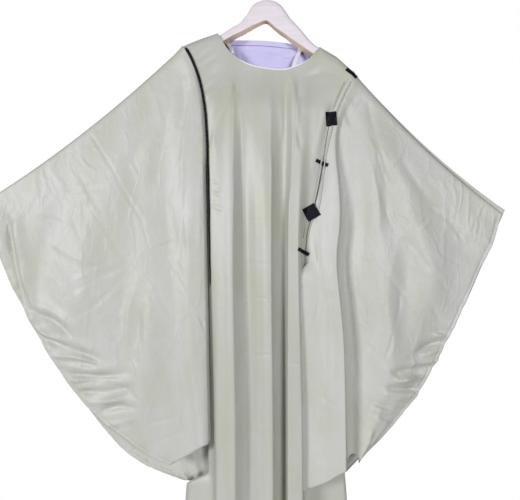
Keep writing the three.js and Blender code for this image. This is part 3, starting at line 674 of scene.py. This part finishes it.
# %% Lines of the wings
wing_levels = [0.02, 0.12, 0.35, 0.65, 1]
near_lines = {
    "left_front": [
        (8, 7, 6, 5, 4, 27, 34, 45, 47, 42, 0),
        (34, 36, 38, 36, 16, 19, 36, 50, 54, 48, 4),
        (86, 94, 98, 80, 34, 13, 27, 36, 40, 36, 2),
    ],
    "right_front": [
        (6, 5, 28, 42, 40, 27, 33, 46, 52, 54, 3),
        (11, 9, 50, 76, 80, 26, 35, 56, 62, 62, 10),
        (16, 13, 58, 84, 88, 24, 35, 58, 64, 64, 10),
        (26, 24, 66, 91, 96, 21, 27, 27, 26, 28, 20),
        (42, 44, 84, 110, 108, 18, 25, 22, 20, 22, 26),
        (84, 100, 128, 160, 122, 13, 32, 38, 36, 28, 14),
    ],
    "left_back": [
        (12, 12, 12, 12, 6, 29, 34, 44, 46, 36, 0),
        (40, 42, 44, 40, 22, 20, 36, 50, 54, 38, 0),
        (90, 98, 104, 84, 36, 13, 28, 36, 40, 30, 0),
    ],
    "right_back": [
        (12, 14, 30, 40, 34, 29, 34, 44, 46, 30, 0),
        (40, 46, 70, 84, 60, 20, 34, 50, 52, 26, 0),
        (88, 100, 120, 130, 84, 13, 28, 34, 38, 18, 0),
    ],
}
far_lines = {
    -1: [(0.22, 10, 26, 42, 40, 32), (0.42, 8, 20, 30, 34, 28), (0.62, 6, 14, 26, 28, 26),
         (0.82, 4, 9, 15, 18, 22), (1, 2, 4, 8, 12, 18)],
    1: [(0.22, 10, 24, 38, 42, 34), (0.42, 8, 20, 34, 36, 30), (0.62, 6, 13, 24, 28, 26),
        (0.82, 4, 9, 16, 20, 24), (1, 2, 4, 8, 12, 20)],
}
wing_edges = {
    "left_front": [(-670, -545), (-629, -691), (-568, -818), (-482, -960), (-395, -1062), (-333, -1107),
                   (-273, -1149), (-224, -1170)],
    "left_back": [(-670, -545), (-629, -691), (-568, -818), (-482, -960), (-406, -1074), (-341, -1149),
                  (-283, -1188), (-197, -1223)],
    "right_front": [(568, -574), (548, -638), (514, -710), (446, -853), (367, -996), (312, -1067),
                    (280, -1102), (223, -1159)],
    "right_back": [(576, -566), (548, -638), (514, -710), (446, -853), (367, -996), (312, -1067),
                   (250, -1147), (199, -1202)],
}
seam_feet = {"left_front": -1110, "left_back": -1241, "right_front": -1221, "right_back": -1248}
wing_fans = {
    "left": [(-300, -360, -330, -980, 34, 7), (-380, -440, -460, -900, 40, -8),
             (-460, -480, -560, -800, 36, 6), (-250, -700, -300, -1140, 36, -8)],
    "right": [(250, -300, 330, -760, 30, 7), (300, -400, 420, -800, 34, -8),
              (380, -440, 500, -700, 34, 6), (250, -720, 330, -1000, 34, -7)],
}
print("wing layers:", list(wing_edges))

# %% The outer edge as an even curve
def edge_curve(corners, count):
    """Even steps along a smooth edge through its corners."""
    corners = np.array(corners, float)
    before = 2 * corners[0] - corners[1]
    after = 2 * corners[-1] - corners[-2]
    padded = np.vstack([before, corners, after])
    traced = []
    for place in range(1, len(padded) - 2):
        p0, p1, p2, p3 = padded[place - 1:place + 3]
        d0, d1, d2 = (math.sqrt(np.linalg.norm(b - a)) for a, b in ((p0, p1), (p1, p2), (p2, p3)))
        m1 = ((p1 - p0) / d0 - (p2 - p0) / (d0 + d1) + (p2 - p1) / d1) * d1
        m2 = ((p2 - p1) / d1 - (p3 - p1) / (d1 + d2) + (p3 - p2) / d2) * d1
        t = np.linspace(0, 1, 60, endpoint=place == len(padded) - 3)[:, None]
        traced.append((2 * t ** 3 - 3 * t ** 2 + 1) * p1 + (t ** 3 - 2 * t ** 2 + t) * m1
                      + (3 * t ** 2 - 2 * t ** 3) * p2 + (t ** 3 - t ** 2) * m2)
    traced = np.vstack(traced)
    run = np.concatenate([[0], np.cumsum(np.linalg.norm(np.diff(traced, axis=0), axis=1))])
    even = np.asarray(count) * run[-1]
    return np.stack([np.interp(even, run, traced[:, axis]) for axis in range(traced.shape[1])], axis=-1)


print("bottom of the left front edge:", edge_curve(wing_edges["left_front"], [1.0])[0].round())

# %% Lay a wing layer
wing_inset = 3.5
wing_lap = 2.4
top_edge_sag = 20
tuck_place = 9
tuck_inner = 5
tuck_outer = 14
tuck_over = 42
tuck_out = 14
tuck_drop = 14
tuck_foot = -730
tuck_head = -684


def fan_field(fans, x, z):
    """Soft folds that fan out across a wing, in millimetres inwards."""
    pushed = np.zeros(np.shape(x))
    for *line, half, deep in fans:
        along, across, _ = by_line(line, x, z)
        ends = smooth(along, -0.1, 0.3) * (1 - smooth(along, 0.7, 1.1))
        pushed += deep * ends * np.exp(-(across / half) ** 2)
    return pushed


def tuck_field(out, z):
    """How much of a wing's strip is folded back over the body, from below the low bar to its foot."""
    half = np.where(out < tuck_place, tuck_inner, tuck_outer)
    folded = smooth(out, 0, tuck_inner) * np.exp(-((out - tuck_place) / half) ** 2)
    return folded * (1 - smooth(z, tuck_foot, tuck_head))


def by_level(row, start):
    """A curve through the five values of a row from one place on, at the levels of a wing."""
    return curve(wing_levels, row[start:start + len(wing_levels)])


def lay_wing(name, row_count, column_count):
    """A wing layer's rows of points, each point's distance from the outer edge and its share down."""
    hand, layer = name.split("_")
    panel = front_panel if layer == "front" else back_panel
    side = panel.side
    seam = left_seam if hand == "left" else right_seam
    outward = -1 if hand == "left" else 1
    foot = seam_feet[name]
    near = [(by_level(row, 0), by_level(row, 5), row[10]) for row in near_lines[name]]
    far = [(row[0], by_level(row, 1)) for row in far_lines[side]]
    ridge = float(shoulder_line(seam(seam_tops[hand]) + outward * wing_inset))
    downs = np.concatenate([np.linspace(0, 0.05, 14)[:-1], np.linspace(0.05, 1, row_count - 13)])
    rims = edge_curve(wing_edges[name], downs)
    near_share = np.linspace(0, 0.3, int(column_count * 0.42), endpoint=False)
    far_share = np.linspace(0.3, 1, column_count - len(near_share))
    shares = np.concatenate([near_share, far_share])
    rows = []
    for v, rim in zip(downs, rims):
        z = mix(ridge, foot, v)
        x = float(seam(z)) + outward * wing_inset
        reach = 0.5
        across = (panel.depth(x + reach, z) - panel.depth(x - reach, z)) / (2 * reach)
        down = (panel.depth(x, z) - panel.depth(x, z - 2 * reach)) / (2 * reach)
        normal = np.array([-side * float(across), side, -side * float(down)])
        start = np.array([x, float(panel.depth(x, z)), z]) + wing_lap * normal / np.linalg.norm(normal)
        width = abs(rim[0] - start[0])
        outs = [0.0] + [float(line[0](v)) for line in near]
        outs += [mix(outs[-1], width, share) for share, _ in far]
        rounding = math.sqrt(1 - (1 - min(max(v * (ridge - foot) / arm_rounding, 0), 1)) ** 2)
        depths = [abs(start[1])] + [meeting_depth + float(line[1](v)) * rounding for line in [*near, *far]]
        lifts = [0.0] + [line[2] for line in near] + [0.0] * len(far)
        out = shares * width
        sag = top_edge_sag * 4 * shares * (1 - shares) * (1 - v) ** 3
        row_x = start[0] + outward * out
        row_z = mix(start[2], rim[1], shares) - sag + curve(outs, lifts)(out) * v ** 8
        calm = smooth(shares, 0.02, 0.2) * smooth(v, 0.03, 0.25)
        row_y = side * (curve(outs, depths)(out) - calm * fan_field(wing_fans[hand], row_x, row_z))
        if name == "right_front":
            folded = tuck_field(out, row_z)
            row_x = row_x - tuck_over * folded
            row_y = row_y - tuck_out * folded
            row_z = row_z - tuck_drop * folded * v ** 8
        rows.append(np.stack([row_x, row_y, row_z], axis=1))
    points = np.array(rows)
    rim_line = points[:, -1, :]
    from_rim = np.full(points.shape[:2], 1e9)
    for corner in rim_line[::3]:
        from_rim = np.minimum(from_rim, np.hypot(points[..., 0] - corner[0], points[..., 2] - corner[2]))
    return points, from_rim, np.broadcast_to(downs[:, None], points.shape[:2])


test_points = lay_wing("left_front", 30, 30)[0]
print("left wing area in square metres:", round(sheet_area(test_points), 3))

# %% [markdown]
# ## Creases, flutes and hems of the wings
#
# A wing is cut on a curve, so its free edge is longer than it needs to be. It ripples in small flutes that
# fade inwards, and longer edge folds run in from it and sway both layers alike. The turned hem is a narrow
# band of double cloth with a line of stitches at its inner side.

# %% Crease tables of the wings
left_creases = [
    (-478, -527, -380, -516, 5, 1.6), (-245, -360, -334, -490, 14, 2.5), (-273, -679, -208, -641, 5, 1.6),
    (-380, -597, -308, -704, 6, 1.8), (-280, -751, -226, -821, 5, 1.8), (-168, -793, -138, -844, 4, 1.8),
    (-294, -721, -322, -907, 14, -5), (-296, -802, -310, -919, 10, 4), (-338, -704, -478, -779, 5, 1.5),
    (-343, -690, -464, -742, 5, -1.4), (-334, -723, -450, -821, 6, 1.5), (-163, -280, -166, -700, 9, -4),
    (-196, -250, -204, -700, 18, 5), (-217, -285, -268, -523, 14, 4), (-184, -243, -203, -276, 4, 1.4),
    (-175, -248, -189, -285, 3, -1.2), (-168, -266, -180, -301, 3, 1.2), (-455, -453, -396, -558, 8, 1.5),
    (-548, -581, -443, -620, 7, 1.6), (-513, -639, -396, -690, 8, -2), (-408, -779, -338, -884, 8, 2),
    (-268, -849, -187, -954, 8, 1.8), (-361, -965, -245, -1035, 7, 1.6),
    (-233, -884, -198, -1058, 10, -3), (-198, -1012, -161, -1140, 7, 2),
    (-282, -1073, -202, -1054, 4, 1.6), (-256, -1116, -183, -1085, 4, 1.6),
]
right_creases = [
    (186, -325, 232, -430, 9, 2.5), (244, -313, 314, -523, 12, 3), (211, -383, 267, -616, 12, -4),
    (314, -430, 430, -581, 12, 2), (390, -562, 430, -586, 5, 2.2), (430, -586, 472, -639, 5, 2.2),
    (356, -616, 388, -593, 4, -1.8), (302, -581, 356, -621, 5, 1.8), (360, -674, 442, -767, 6, 2),
    (239, -883, 337, -976, 6, 2.2), (293, -862, 279, -914, 4, 2), (260, -1021, 246, -1069, 5, -2.5),
    (246, -1069, 244, -1104, 5, -2.5), (279, -1053, 309, -1049, 4, 1.5), (279, -558, 314, -627, 5, 1.5),
    (325, -639, 383, -704, 5, 1.5), (267, -686, 337, -779, 6, 1.5), (383, -779, 418, -837, 5, 1.5),
    (314, -755, 302, -837, 5, 1.2), (407, -662, 458, -690, 5, 1.5), (202, -662, 249, -848, 10, -2.5),
    (111, -990, 174, -1028, 5, 2), (109, -1137, 146, -1151, 5, 1.8), (109, -639, 111, -848, 4, 1.5),
    (132, -546, 139, -779, 5, -2), (151, -686, 155, -1011, 5, -2), (123, -872, 128, -1104, 5, 1.6),
]
left_pressed = [
    (((-413, -390), (-361, -467), (-327, -527), (-289, -590), (-268, -662), (-219, -714)), 3.2, 2.0),
    (((-350, -499), (-229, -676), (-140, -839)), 2.6, 1.3),
    (((-429, -537), (-331, -676), (-278, -737), (-222, -816)), 2.8, 1.4),
]
right_pressed = [
    (((239, -883), (290, -935), (337, -976)), 2.8, 1.4),
    (((293, -862), (279, -914)), 2.6, 1.6),
    (((262, -440), (300, -560), (352, -700)), 2.6, 1.2),
]
left_edge_folds = [
    (-622, -575, -578, -790, 12, 14), (-598, -610, -548, -800, 8, -6), (-585, -800, -455, -868, 10, 12),
    (-560, -838, -470, -880, 6, -9), (-540, -872, -400, -918, 10, 13), (-508, -915, -390, -927, 6, -11),
    (-490, -950, -330, -952, 10, 13), (-468, -976, -350, -968, 6, -10), (-452, -1000, -310, -985, 10, 12),
    (-430, -1026, -325, -1006, 7, -10), (-410, -1055, -290, -1030, 8, 9),
    (-385, -1078, -310, -1058, 6, -5),
]
right_edge_folds = [
    (560, -585, 538, -660, 6, 6), (548, -650, 526, -742, 7, -8), (520, -700, 486, -772, 7, 9),
    (500, -765, 478, -838, 6, 10), (484, -790, 462, -850, 5, -7), (462, -866, 396, -862, 5, -8),
    (452, -882, 346, -906, 10, 13), (436, -915, 336, -926, 6, -10), (425, -944, 300, -946, 9, 12),
    (408, -966, 300, -968, 6, -9), (395, -992, 268, -976, 9, 11), (372, -1012, 280, -996, 6, -8),
    (350, -1044, 250, -1016, 7, 9), (318, -1080, 250, -1052, 6, -6),
]
left_back_creases = [
    (-300, -500, -340, -640, 6, 2), (-420, -560, -380, -700, 7, 2), (-260, -800, -220, -960, 8, -2.5),
    (-500, -640, -400, -700, 7, 1.8), (-340, -900, -260, -1040, 8, 2),
]
right_back_creases = [
    (300, -480, 350, -600, 6, 2), (400, -560, 440, -680, 7, 2), (250, -760, 300, -900, 8, -2.5),
    (200, -640, 260, -760, 7, 1.8), (220, -900, 260, -1040, 8, 2),
]
print("front creases:", len(left_creases), "left,", len(right_creases), "right")
print("edge folds:", len(left_edge_folds), "left,", len(right_edge_folds), "right")

# %% Flutes along a free edge
left_flutes = [
    (0.07, 0.016, 2), (0.15, 0.020, -3), (0.22, 0.012, 2), (0.27, 0.010, -2), (0.33, 0.014, 3),
    (0.38, 0.010, -3), (0.42, 0.012, 3), (0.48, 0.014, -2), (0.56, 0.012, 2), (0.64, 0.018, -2),
    (0.75, 0.016, 2), (0.88, 0.016, -2),
]
right_flutes = [
    (0.05, 0.016, 2), (0.12, 0.012, -3), (0.19, 0.014, 2), (0.28, 0.018, -2), (0.36, 0.012, 3),
    (0.43, 0.012, -3), (0.50, 0.010, 3), (0.56, 0.012, -2), (0.63, 0.010, 3), (0.70, 0.014, -3),
    (0.79, 0.014, 2), (0.90, 0.016, -2),
]
flute_reach = 48
hem_width = 8
groove_half = 1.8
groove_depth = 1.6


def flute_field(flutes, down, from_rim):
    """How far the flutes sway both layers, most at the edge and less and less inside it."""
    pushed = np.zeros(down.shape)
    fade = np.exp(-(from_rim / flute_reach) ** 1.4)
    for middle, half, deep in flutes:
        pushed += deep * fade * np.exp(-((down - middle) / (half * 1.3)) ** 2)
    return pushed


def hem_field(from_rim):
    """A stitched hem: a shallow groove at its inner side, in millimetres inwards."""
    return groove_depth * np.exp(-((from_rim - hem_width) / groove_half) ** 2)


print("flutes:", len(left_flutes), "left,", len(right_flutes), "right")

# %% Make the four layers
wing_looks = {
    "left_front": (left_creases, left_pressed, left_edge_folds, left_flutes, 172, 226),
    "left_back": (left_back_creases, left_pressed[1:2], left_edge_folds, left_flutes, 130, 170),
    "right_front": (right_creases, right_pressed, right_edge_folds, right_flutes, 172, 226),
    "right_back": (right_back_creases, right_pressed[:1], right_edge_folds, right_flutes, 130, 170),
}
wing_pieces = {}
nearest_to_middle = 1.4
fold_at_rim = 0.4
fold_full_at = 28
for name, (creases, pressed, edge_folds, flutes, row_count, column_count) in wing_looks.items():
    hand, layer = name.split("_")
    side = -1 if layer == "front" else 1
    points, from_rim, down = lay_wing(name, row_count, column_count)
    x, z = points[..., 0].copy(), points[..., 2].copy()
    calm = smooth(np.abs(x - points[:, :1, 0]), 3, 16) * smooth(down, 0.004, 0.03)
    at_rim = mix(fold_at_rim, 1, smooth(from_rim, 0, fold_full_at))
    swayed = flute_field(flutes, down, from_rim) + crease_field(edge_folds, x, z) * at_rim
    pushed = calm * (crease_field(creases, x, z) + pressed_field(pressed, x, z) + hem_field(from_rim))
    room = side * points[..., 1] - nearest_to_middle
    points[..., 1] -= side * np.minimum(pushed, np.maximum(room, 0))
    points[..., 1] += swayed
    wing = make_sheet("wing_" + name, facing(points, side), cloth_wall, creased_satin_painted_paler)
    wing_pieces[name] = stand_for(wing, f"sleeve_{hand}_{layer}")
    print(wing.name, "triangles:", 2 * len(wing.data.polygons), "area:", round(sheet_area(points), 3))

# %% [markdown]
# ## Strips inside the neck
#
# A pale facing finishes the front neckline and shows as a fine bright edge. Behind it, the back is lined
# down to the shoulder blades in lavender, under a band of the same cloth. All three are cut to the
# panel's own curve, so they are laid on its surface a little further in, and the lining has a few creases of
# its own.

# %% Facing, band and lining
strip_wall = 0.8


def neck_strip(name, panel, ends, top, drops, lap, creases, material):
    """A strip inside a panel, from one end to the other, its rows at drops below its top line."""
    x = np.linspace(*ends, 170)
    x, z = np.broadcast_arrays(x, top(x) - np.array(drops, float)[:, None])
    y = panel.depth(x, z) - panel.side * (lap + crease_field(creases, x, z))
    points = np.stack([x, y, z], axis=-1)
    return make_sheet(name, facing(points, panel.side), strip_wall, material)


facing_rise = pairs([(-92, 1), (-40, 4), (60, 4), (116, 1)])
lining_creases = [
    (-70, -178, 40, -184, 3, 1.0), (-20, -190, 90, -186, 3, -0.9), (-60, -200, 60, -196, 4, 1.2),
    (-40, -214, 80, -208, 3, -0.9), (-50, -226, 30, -220, 4, 1.0), (50, -172, 74, -214, 4, 1.2),
    (-70, -168, -58, -200, 4, 1.0),
]
neck_facing = neck_strip("neck_facing", front_panel, (-92, 116), lambda x: front_neckline(x) + facing_rise(x),
                         np.linspace(0, 20, 12), 2, [], white_ribbon)
stand_for(neck_facing, "neck_facing_front")
neck_band = neck_strip("neck_band", back_panel, (-88, 104), back_neckline, np.linspace(-1, 11, 12), 2.4, [],
                       lavender_lining)
stand_for(neck_band, "neck_band_back")
lining = neck_strip("lining", back_panel, (-92, 108), back_neckline, np.linspace(12, 130, 70), 2.6,
                    lining_creases, lavender_lining)
stand_for(lining, "back_lining")
print("strips:", [neck_facing.name, neck_band.name, lining.name])

# %% [markdown]
# ## Hanging loops
#
# Two loops of satin ribbon are sewn in at the shoulders to hold a slippery dress on its hanger. Each hangs
# from the back neckline and lies over the hanger's arm towards the front. A ribbon is a narrow sheet along a
# smooth line, with a firm woven edge at each side.

# %% Ribbon loops
woven_edge = 0.25
ribbon_crown = 0.5


def ribbon(name, route, width, node):
    """A flat ribbon along a route, its width along X and its edges a little raised."""
    middle = edge_curve(route, np.linspace(0, 1, 60))
    across = np.linspace(-1, 1, 13)
    points = middle[:, None, :] + np.stack([across * width / 2, 0 * across, 0 * across], axis=-1)
    edges = np.exp(-((np.abs(across) - 0.86) / 0.07) ** 2)
    points[..., 1] -= woven_edge * edges + ribbon_crown * (1 - across ** 2)
    return stand_for(make_sheet(name, points, strip_wall, white_ribbon), node)


left_route = [(-76, -17, -196), (-80, -8, -184), (-86, 6, -170), (-90, 18, -160), (-92, 20.4, -146)]
left_loop = ribbon("left_loop", left_route, 8, "hanger_loop_left")
right_route = [(68, -17, -228), (74, -6, -206), (80, 8, -189), (85, 18.6, -177), (88, 19.6, -160)]
right_loop = ribbon("right_loop", right_route, 10, "hanger_loop_right")
print("loops:", left_loop.name, right_loop.name)

# %% [markdown]
# ## Rods from rings
#
# Piping is a strip of bias satin folded round a cord. A cord of the same kind, the hanger's arms and its wire
# are also long round things. All are made alike: a grid whose rows are rings along the piece is rolled
# shut, its ends are filled, and its faces are turned outwards.

# %% Roll a grid into a rod
def roll_up(name, rings, material):
    """A closed solid from rings of points, the first point of each ring being its last too."""
    rod = make_sheet(name, np.array(rings), 0, material)
    bpy.ops.object.mode_set(mode="EDIT")
    bpy.ops.mesh.select_all(action="SELECT")
    bpy.ops.mesh.remove_doubles(threshold=0.000005)
    bpy.ops.mesh.fill_holes(sides=0)
    bpy.ops.mesh.normals_make_consistent(inside=False)
    bpy.ops.object.mode_set(mode="OBJECT")
    return rod


def rings_along(centres, half_widths, half_depths, sides):
    """Rings about a line of centres, their depth towards the front."""
    centres = np.array(centres, float)
    forward = np.gradient(centres, axis=0)
    forward /= np.linalg.norm(forward, axis=1)[:, None]
    out = np.array([0.0, -1.0, 0.0]) - forward * (-forward[:, 1])[:, None]
    out /= np.linalg.norm(out, axis=1)[:, None]
    aside = np.cross(forward, out)
    turns = np.linspace(0, 2 * math.pi, sides + 1)
    wide = (np.asarray(half_widths)[:, None] * np.cos(turns))[..., None]
    deep = (np.asarray(half_depths)[:, None] * np.sin(turns))[..., None]
    return centres[:, None, :] + wide * aside[:, None, :] + deep * out[:, None, :]


def first_cloth(cloths, x, z):
    """The y in millimetres where a line from the front first meets one of the cloths."""
    start = Vector((x * millimetre, -0.4, z * millimetre))
    hits = [piece.ray_cast(start, Vector((0, 1, 0))) for piece in cloths]
    return min(place.y for hit, place, normal, face in hits if hit) / millimetre


def laid_over(cloths, xs, zs, reach, steps):
    """The front of the cloths along a line, evened out, and never behind them."""
    sides = (-reach, 0, reach)
    tops = np.array([min(first_cloth(cloths, x + aside, z) for aside in sides) for x, z in zip(xs, zs)])
    even = tops.copy()
    for _ in range(steps):
        even[1:-1] = np.minimum(tops[1:-1], (even[:-2] + even[1:-1] + even[2:]) / 3)
    return even


print("the front at the breast, mm:", round(first_cloth([front], 10, -400), 1))

# %% Piping on the left seam
piping_z = np.linspace(-186, -745, 260)
piping_x = left_seam(piping_z) + 0.6 + 0.35 * np.sin(piping_z / 17) * np.sin(piping_z / 41)
piping_half = np.interp(-piping_z, [186, 192, 420, 600, 735, 745], [1.6, 2.9, 2.6, 1.9, 1.2, 0.5])
piping_deep = 0.8 * piping_half
piping_sunk = 0.3
left_cloths = [front, wing_pieces["left_front"]]
piping_y = laid_over(left_cloths, piping_x, piping_z, 2, 12) - piping_deep + piping_sunk
piping_line = np.stack([piping_x, piping_y, piping_z], axis=1)
piping = roll_up("piping", rings_along(piping_line, piping_half, piping_deep, 14), black_satin)
stand_for(piping, "piping_left")
print("piping rings:", len(piping_z))

# %% [markdown]
# ## Black patches and the pair of cords
#
# On the right seam two thin self-fabric cords run down together under and over black satin patches. A patch
# is a small square with its raw edges turned under: it is thicker at its rim, with a line of stitches just
# inside it. It lies on whatever is under it, so the lowest are made first.

# %% Sew on a patch
patch_wall = 1.0
patch_step = 0.9
patch_lift = 0.8
turned_edge = 0.35


def sew_patch(name, place, cloths, node):
    """A turned-edge patch at x and z, with its width, height and turn in degrees, on top of the cloths."""
    x, z, width, height, turn = place
    angle = math.radians(turn)
    u = np.linspace(-width / 2, width / 2, max(9, int(width / patch_step)))
    v = np.linspace(height / 2, -height / 2, max(9, int(height / patch_step)))
    u, v = np.meshgrid(u, v)
    px = x + u * math.cos(angle) - v * math.sin(angle)
    pz = z + u * math.sin(angle) + v * math.cos(angle)
    tops = np.array([[first_cloth(cloths, a, b) for a, b in zip(*row)] for row in zip(px, pz)])
    even = tops.copy()
    for _ in range(60):
        padded = np.pad(even, 1, mode="edge")
        beside = padded[:-2, 1:-1] + padded[2:, 1:-1] + padded[1:-1, :-2] + padded[1:-1, 2:]
        even = np.minimum(tops, beside / 4)
    edge = np.minimum(width / 2 - np.abs(u), height / 2 - np.abs(v))
    rim = turned_edge * smooth(edge, 2.6, 1.9)
    stitches = turned_edge * np.exp(-((edge - 2.1) / 0.5) ** 2)
    ripple = turned_edge * np.sin(0.55 * u + 1.3) * np.sin(0.42 * v + 0.4) * smooth(edge, 2, 5)
    py = even - patch_lift - patch_wall / 2 - rim + stitches + ripple
    patch = make_sheet(name, np.stack([px, py, pz], axis=-1), patch_wall, black_satin)
    return stand_for(patch, node)


right_cloths = [front, wing_pieces["right_front"]]
top_bar = sew_patch("top_bar", (203.5, -246, 32, 8, -38), right_cloths, "bar_top")
middle_bar = sew_patch("middle_bar", (132.5, -458.5, 30, 8, -24), right_cloths, "bar_middle")
low_bar = sew_patch("low_bar", (89, -666, 30, 8, -27), right_cloths, "bar_low")
print("bars:", top_bar.name, middle_bar.name, low_bar.name)

# %% The pair of cords
inner_cord_line = pairs([(-262, 189), (-286, 176), (-322, 162), (-374, 147), (-451, 132), (-499, 125),
                         (-553, 114), (-597, 99), (-632, 90)])
outer_cord_line = pairs([(-266, 201), (-291, 188), (-327, 172), (-374, 157), (-451, 140), (-499, 135),
                         (-562, 125), (-597, 108), (-635, 98)])


def sew_cord(name, line, cloths, node):
    """A cord of the dress's own satin down the cloths, lifting over what lies on them."""
    z = np.linspace(-266, -634, 200)
    x = line(z)
    half = np.interp(np.arange(200), [0, 3, 196, 199], [0.6, 1.35, 1.35, 0.6])
    y = laid_over(cloths, x, z, 1.2, 14) - half - 0.1
    cord = roll_up(name, rings_along(np.stack([x, y, z], axis=1), half, half, 12), sage_satin)
    return stand_for(cord, node)


under_cords = [*right_cloths, middle_bar]
inner_cord = sew_cord("inner_cord", inner_cord_line, under_cords, "tuck_cord_inner")
outer_cord = sew_cord("outer_cord", outer_cord_line, under_cords, "tuck_cord_outer")
over_cords = [*right_cloths, inner_cord, outer_cord]
top_square = sew_patch("top_square", (154.5, -355.5, 25, 33, 5), over_cords, "square_top")
low_square = sew_patch("low_square", (107.5, -574, 32, 32, 30), over_cords, "square_low")
print("cords and squares:", inner_cord.name, outer_cord.name, top_square.name, low_square.name)

# %% [markdown]
# ## The hanger
#
# The hanger is one piece of beech: two arms that slope down from a raised middle, rounded on top and flat
# underneath. Its height and thickness are given at a few places and a ring is set every few millimetres.
# The wire hook stands in the middle and bends round the rail.

# %% Wood and wire
hanger_cuts = [
    (-187, -184, -197, 8), (-182, -180, -203, 15), (-165, -170, -201, 20), (-150, -163, -193, 20),
    (-114, -153, -175, 17), (-78, -131, -155, 16), (-60, -120, -146, 15), (-48, -106, -140, 15),
    (-41, -97, -136, 14), (-35, -85, -133, 14), (-26, -74, -128, 13), (-14, -67, -122, 12),
    (2, -63, -116, 12), (24, -67, -132, 13), (38, -77, -143, 14), (50, -92, -151, 14),
    (60, -108, -159, 15), (78, -127, -172, 16),
    (112, -167.5, -196, 17), (140, -188, -215, 18), (160, -202, -229, 20), (178, -216, -243, 20),
    (194, -231, -252, 16), (200, -239, -250, 8),
]
wood_x = [cut[0] for cut in hanger_cuts]
wood_top, wood_bottom, wood_half = (curve(wood_x, [cut[place] for cut in hanger_cuts]) for place in (1, 2, 3))
wood_turns = np.linspace(0, 2 * math.pi, 49)
up, aside = np.sin(wood_turns), np.cos(wood_turns)
roundness = np.where(up < 0, 0.22, 0.7)
wood_rings = []
for x in np.unique(np.concatenate([wood_x, np.arange(-186, 200, 3)])):
    top, bottom, half = float(wood_top(x)), float(wood_bottom(x)), float(wood_half(x))
    z = (top + bottom) / 2 + (top - bottom) / 2 * np.sign(up) * np.abs(up) ** roundness
    y = half * np.sign(aside) * np.abs(aside) ** roundness
    wood_rings.append(np.stack([np.full_like(y, x), y, z], axis=-1))
hanger = roll_up("hanger", wood_rings, beech)
hanger.data.materials.append(warm_beech_painted_bounce)
# Faces that point downwards take the warmer beech with its painted bounce light.
facing_down = -0.62
for face in hanger.data.polygons:
    face.material_index = 1 if face.normal.z < facing_down else 0
stand_for(hanger, "hanger_wood")

bend_radius = 24
bend_height = -22
hook_turns = np.radians(np.linspace(-60, 205, 10))
hook_route = [(2, 0, -62.7), (3, 0, -54)]
for turn in hook_turns:
    hook_route.append((bend_radius * math.cos(turn), 0, bend_height + bend_radius * math.sin(turn)))
hook_line = edge_curve(hook_route, np.linspace(0, 1, 150))
hook_half = np.interp(np.arange(150), [0, 147, 148, 149], [2, 2, 1.7, 0.9])
hook = roll_up("hook", rings_along(hook_line, hook_half, hook_half, 20), steel_wire)
stand_for(hook, "hanger_hook")
print("hanger faces:", len(hanger.data.polygons), "hook faces:", len(hook.data.polygons))

# %% [markdown]
# ## The cut of each cloth piece
#
# A sheet keeps the size it was cut to when it hangs. Each sheet's map is scaled to the width and length of
# the laid cloth along its threads, with its folds opened out, and the areas printed above are those of the
# surface itself.


# %% [markdown]
# ## Light and floor
#
# Plain soft studio light: a pale surround, one soft light from the left, and one from the front a little to
# the right, so that every fold is lit on one side and shades softly on the other. A third lights the back,
# which the photograph doesn't show.

# %% Surround, lights and floor
world = bpy.data.worlds.new("pale_surround")
world.use_nodes = True
world.node_tree.nodes.clear()
seen = add_node(world, "ShaderNodeLightPath")
strength = add_node(world, "ShaderNodeMapRange", {"To Min": 0.11, "To Max": 1.0},
                    {"Value": seen.outputs["Is Camera Ray"]})
white = add_node(world, "ShaderNodeBackground", {"Color": (1, 1, 1, 1)},
                 {"Strength": strength.outputs["Result"]})
add_node(world, "ShaderNodeOutputWorld", links={"Surface": white.outputs["Background"]})
bpy.context.scene.world = world
bpy.context.scene.view_settings.view_transform = "Standard"


def soft_light(name, place, aim, size, power, colour):
    """A square soft light that faces a point."""
    light = bpy.data.lights.new(name, "AREA")
    light.size = size
    light.energy = power
    light.color = colour
    lamp = bpy.data.objects.new(name, light)
    lamp.location = place
    lamp.rotation_euler = (Vector(aim) - Vector(place)).to_track_quat("-Z", "Y").to_euler()
    bpy.context.scene.collection.objects.link(lamp)


breast = (0, 0, -0.7)
soft_light("key_light", (-4.6, -4.6, 0.3), breast, 1.7, 244, (1.0, 0.985, 1.0))
soft_light("front_light", (1.8, -5.2, 0.1), breast, 1.4, 152, (0.98, 0.97, 1.0))
soft_light("back_light", (3.8, 5.2, 0.1), breast, 2.0, 300, (1.0, 0.99, 1.0))

bpy.ops.object.select_all(action="DESELECT")
bpy.ops.mesh.primitive_plane_add(size=1.9, location=(0, -0.2, -1.70))
floor = bpy.context.active_object
floor.name = "floor"
pale_floor = paint(new_material("pale_floor"), {"Base Color": linear("f0f0ee"), "Roughness": 0.8})
floor.data.materials.append(pale_floor)
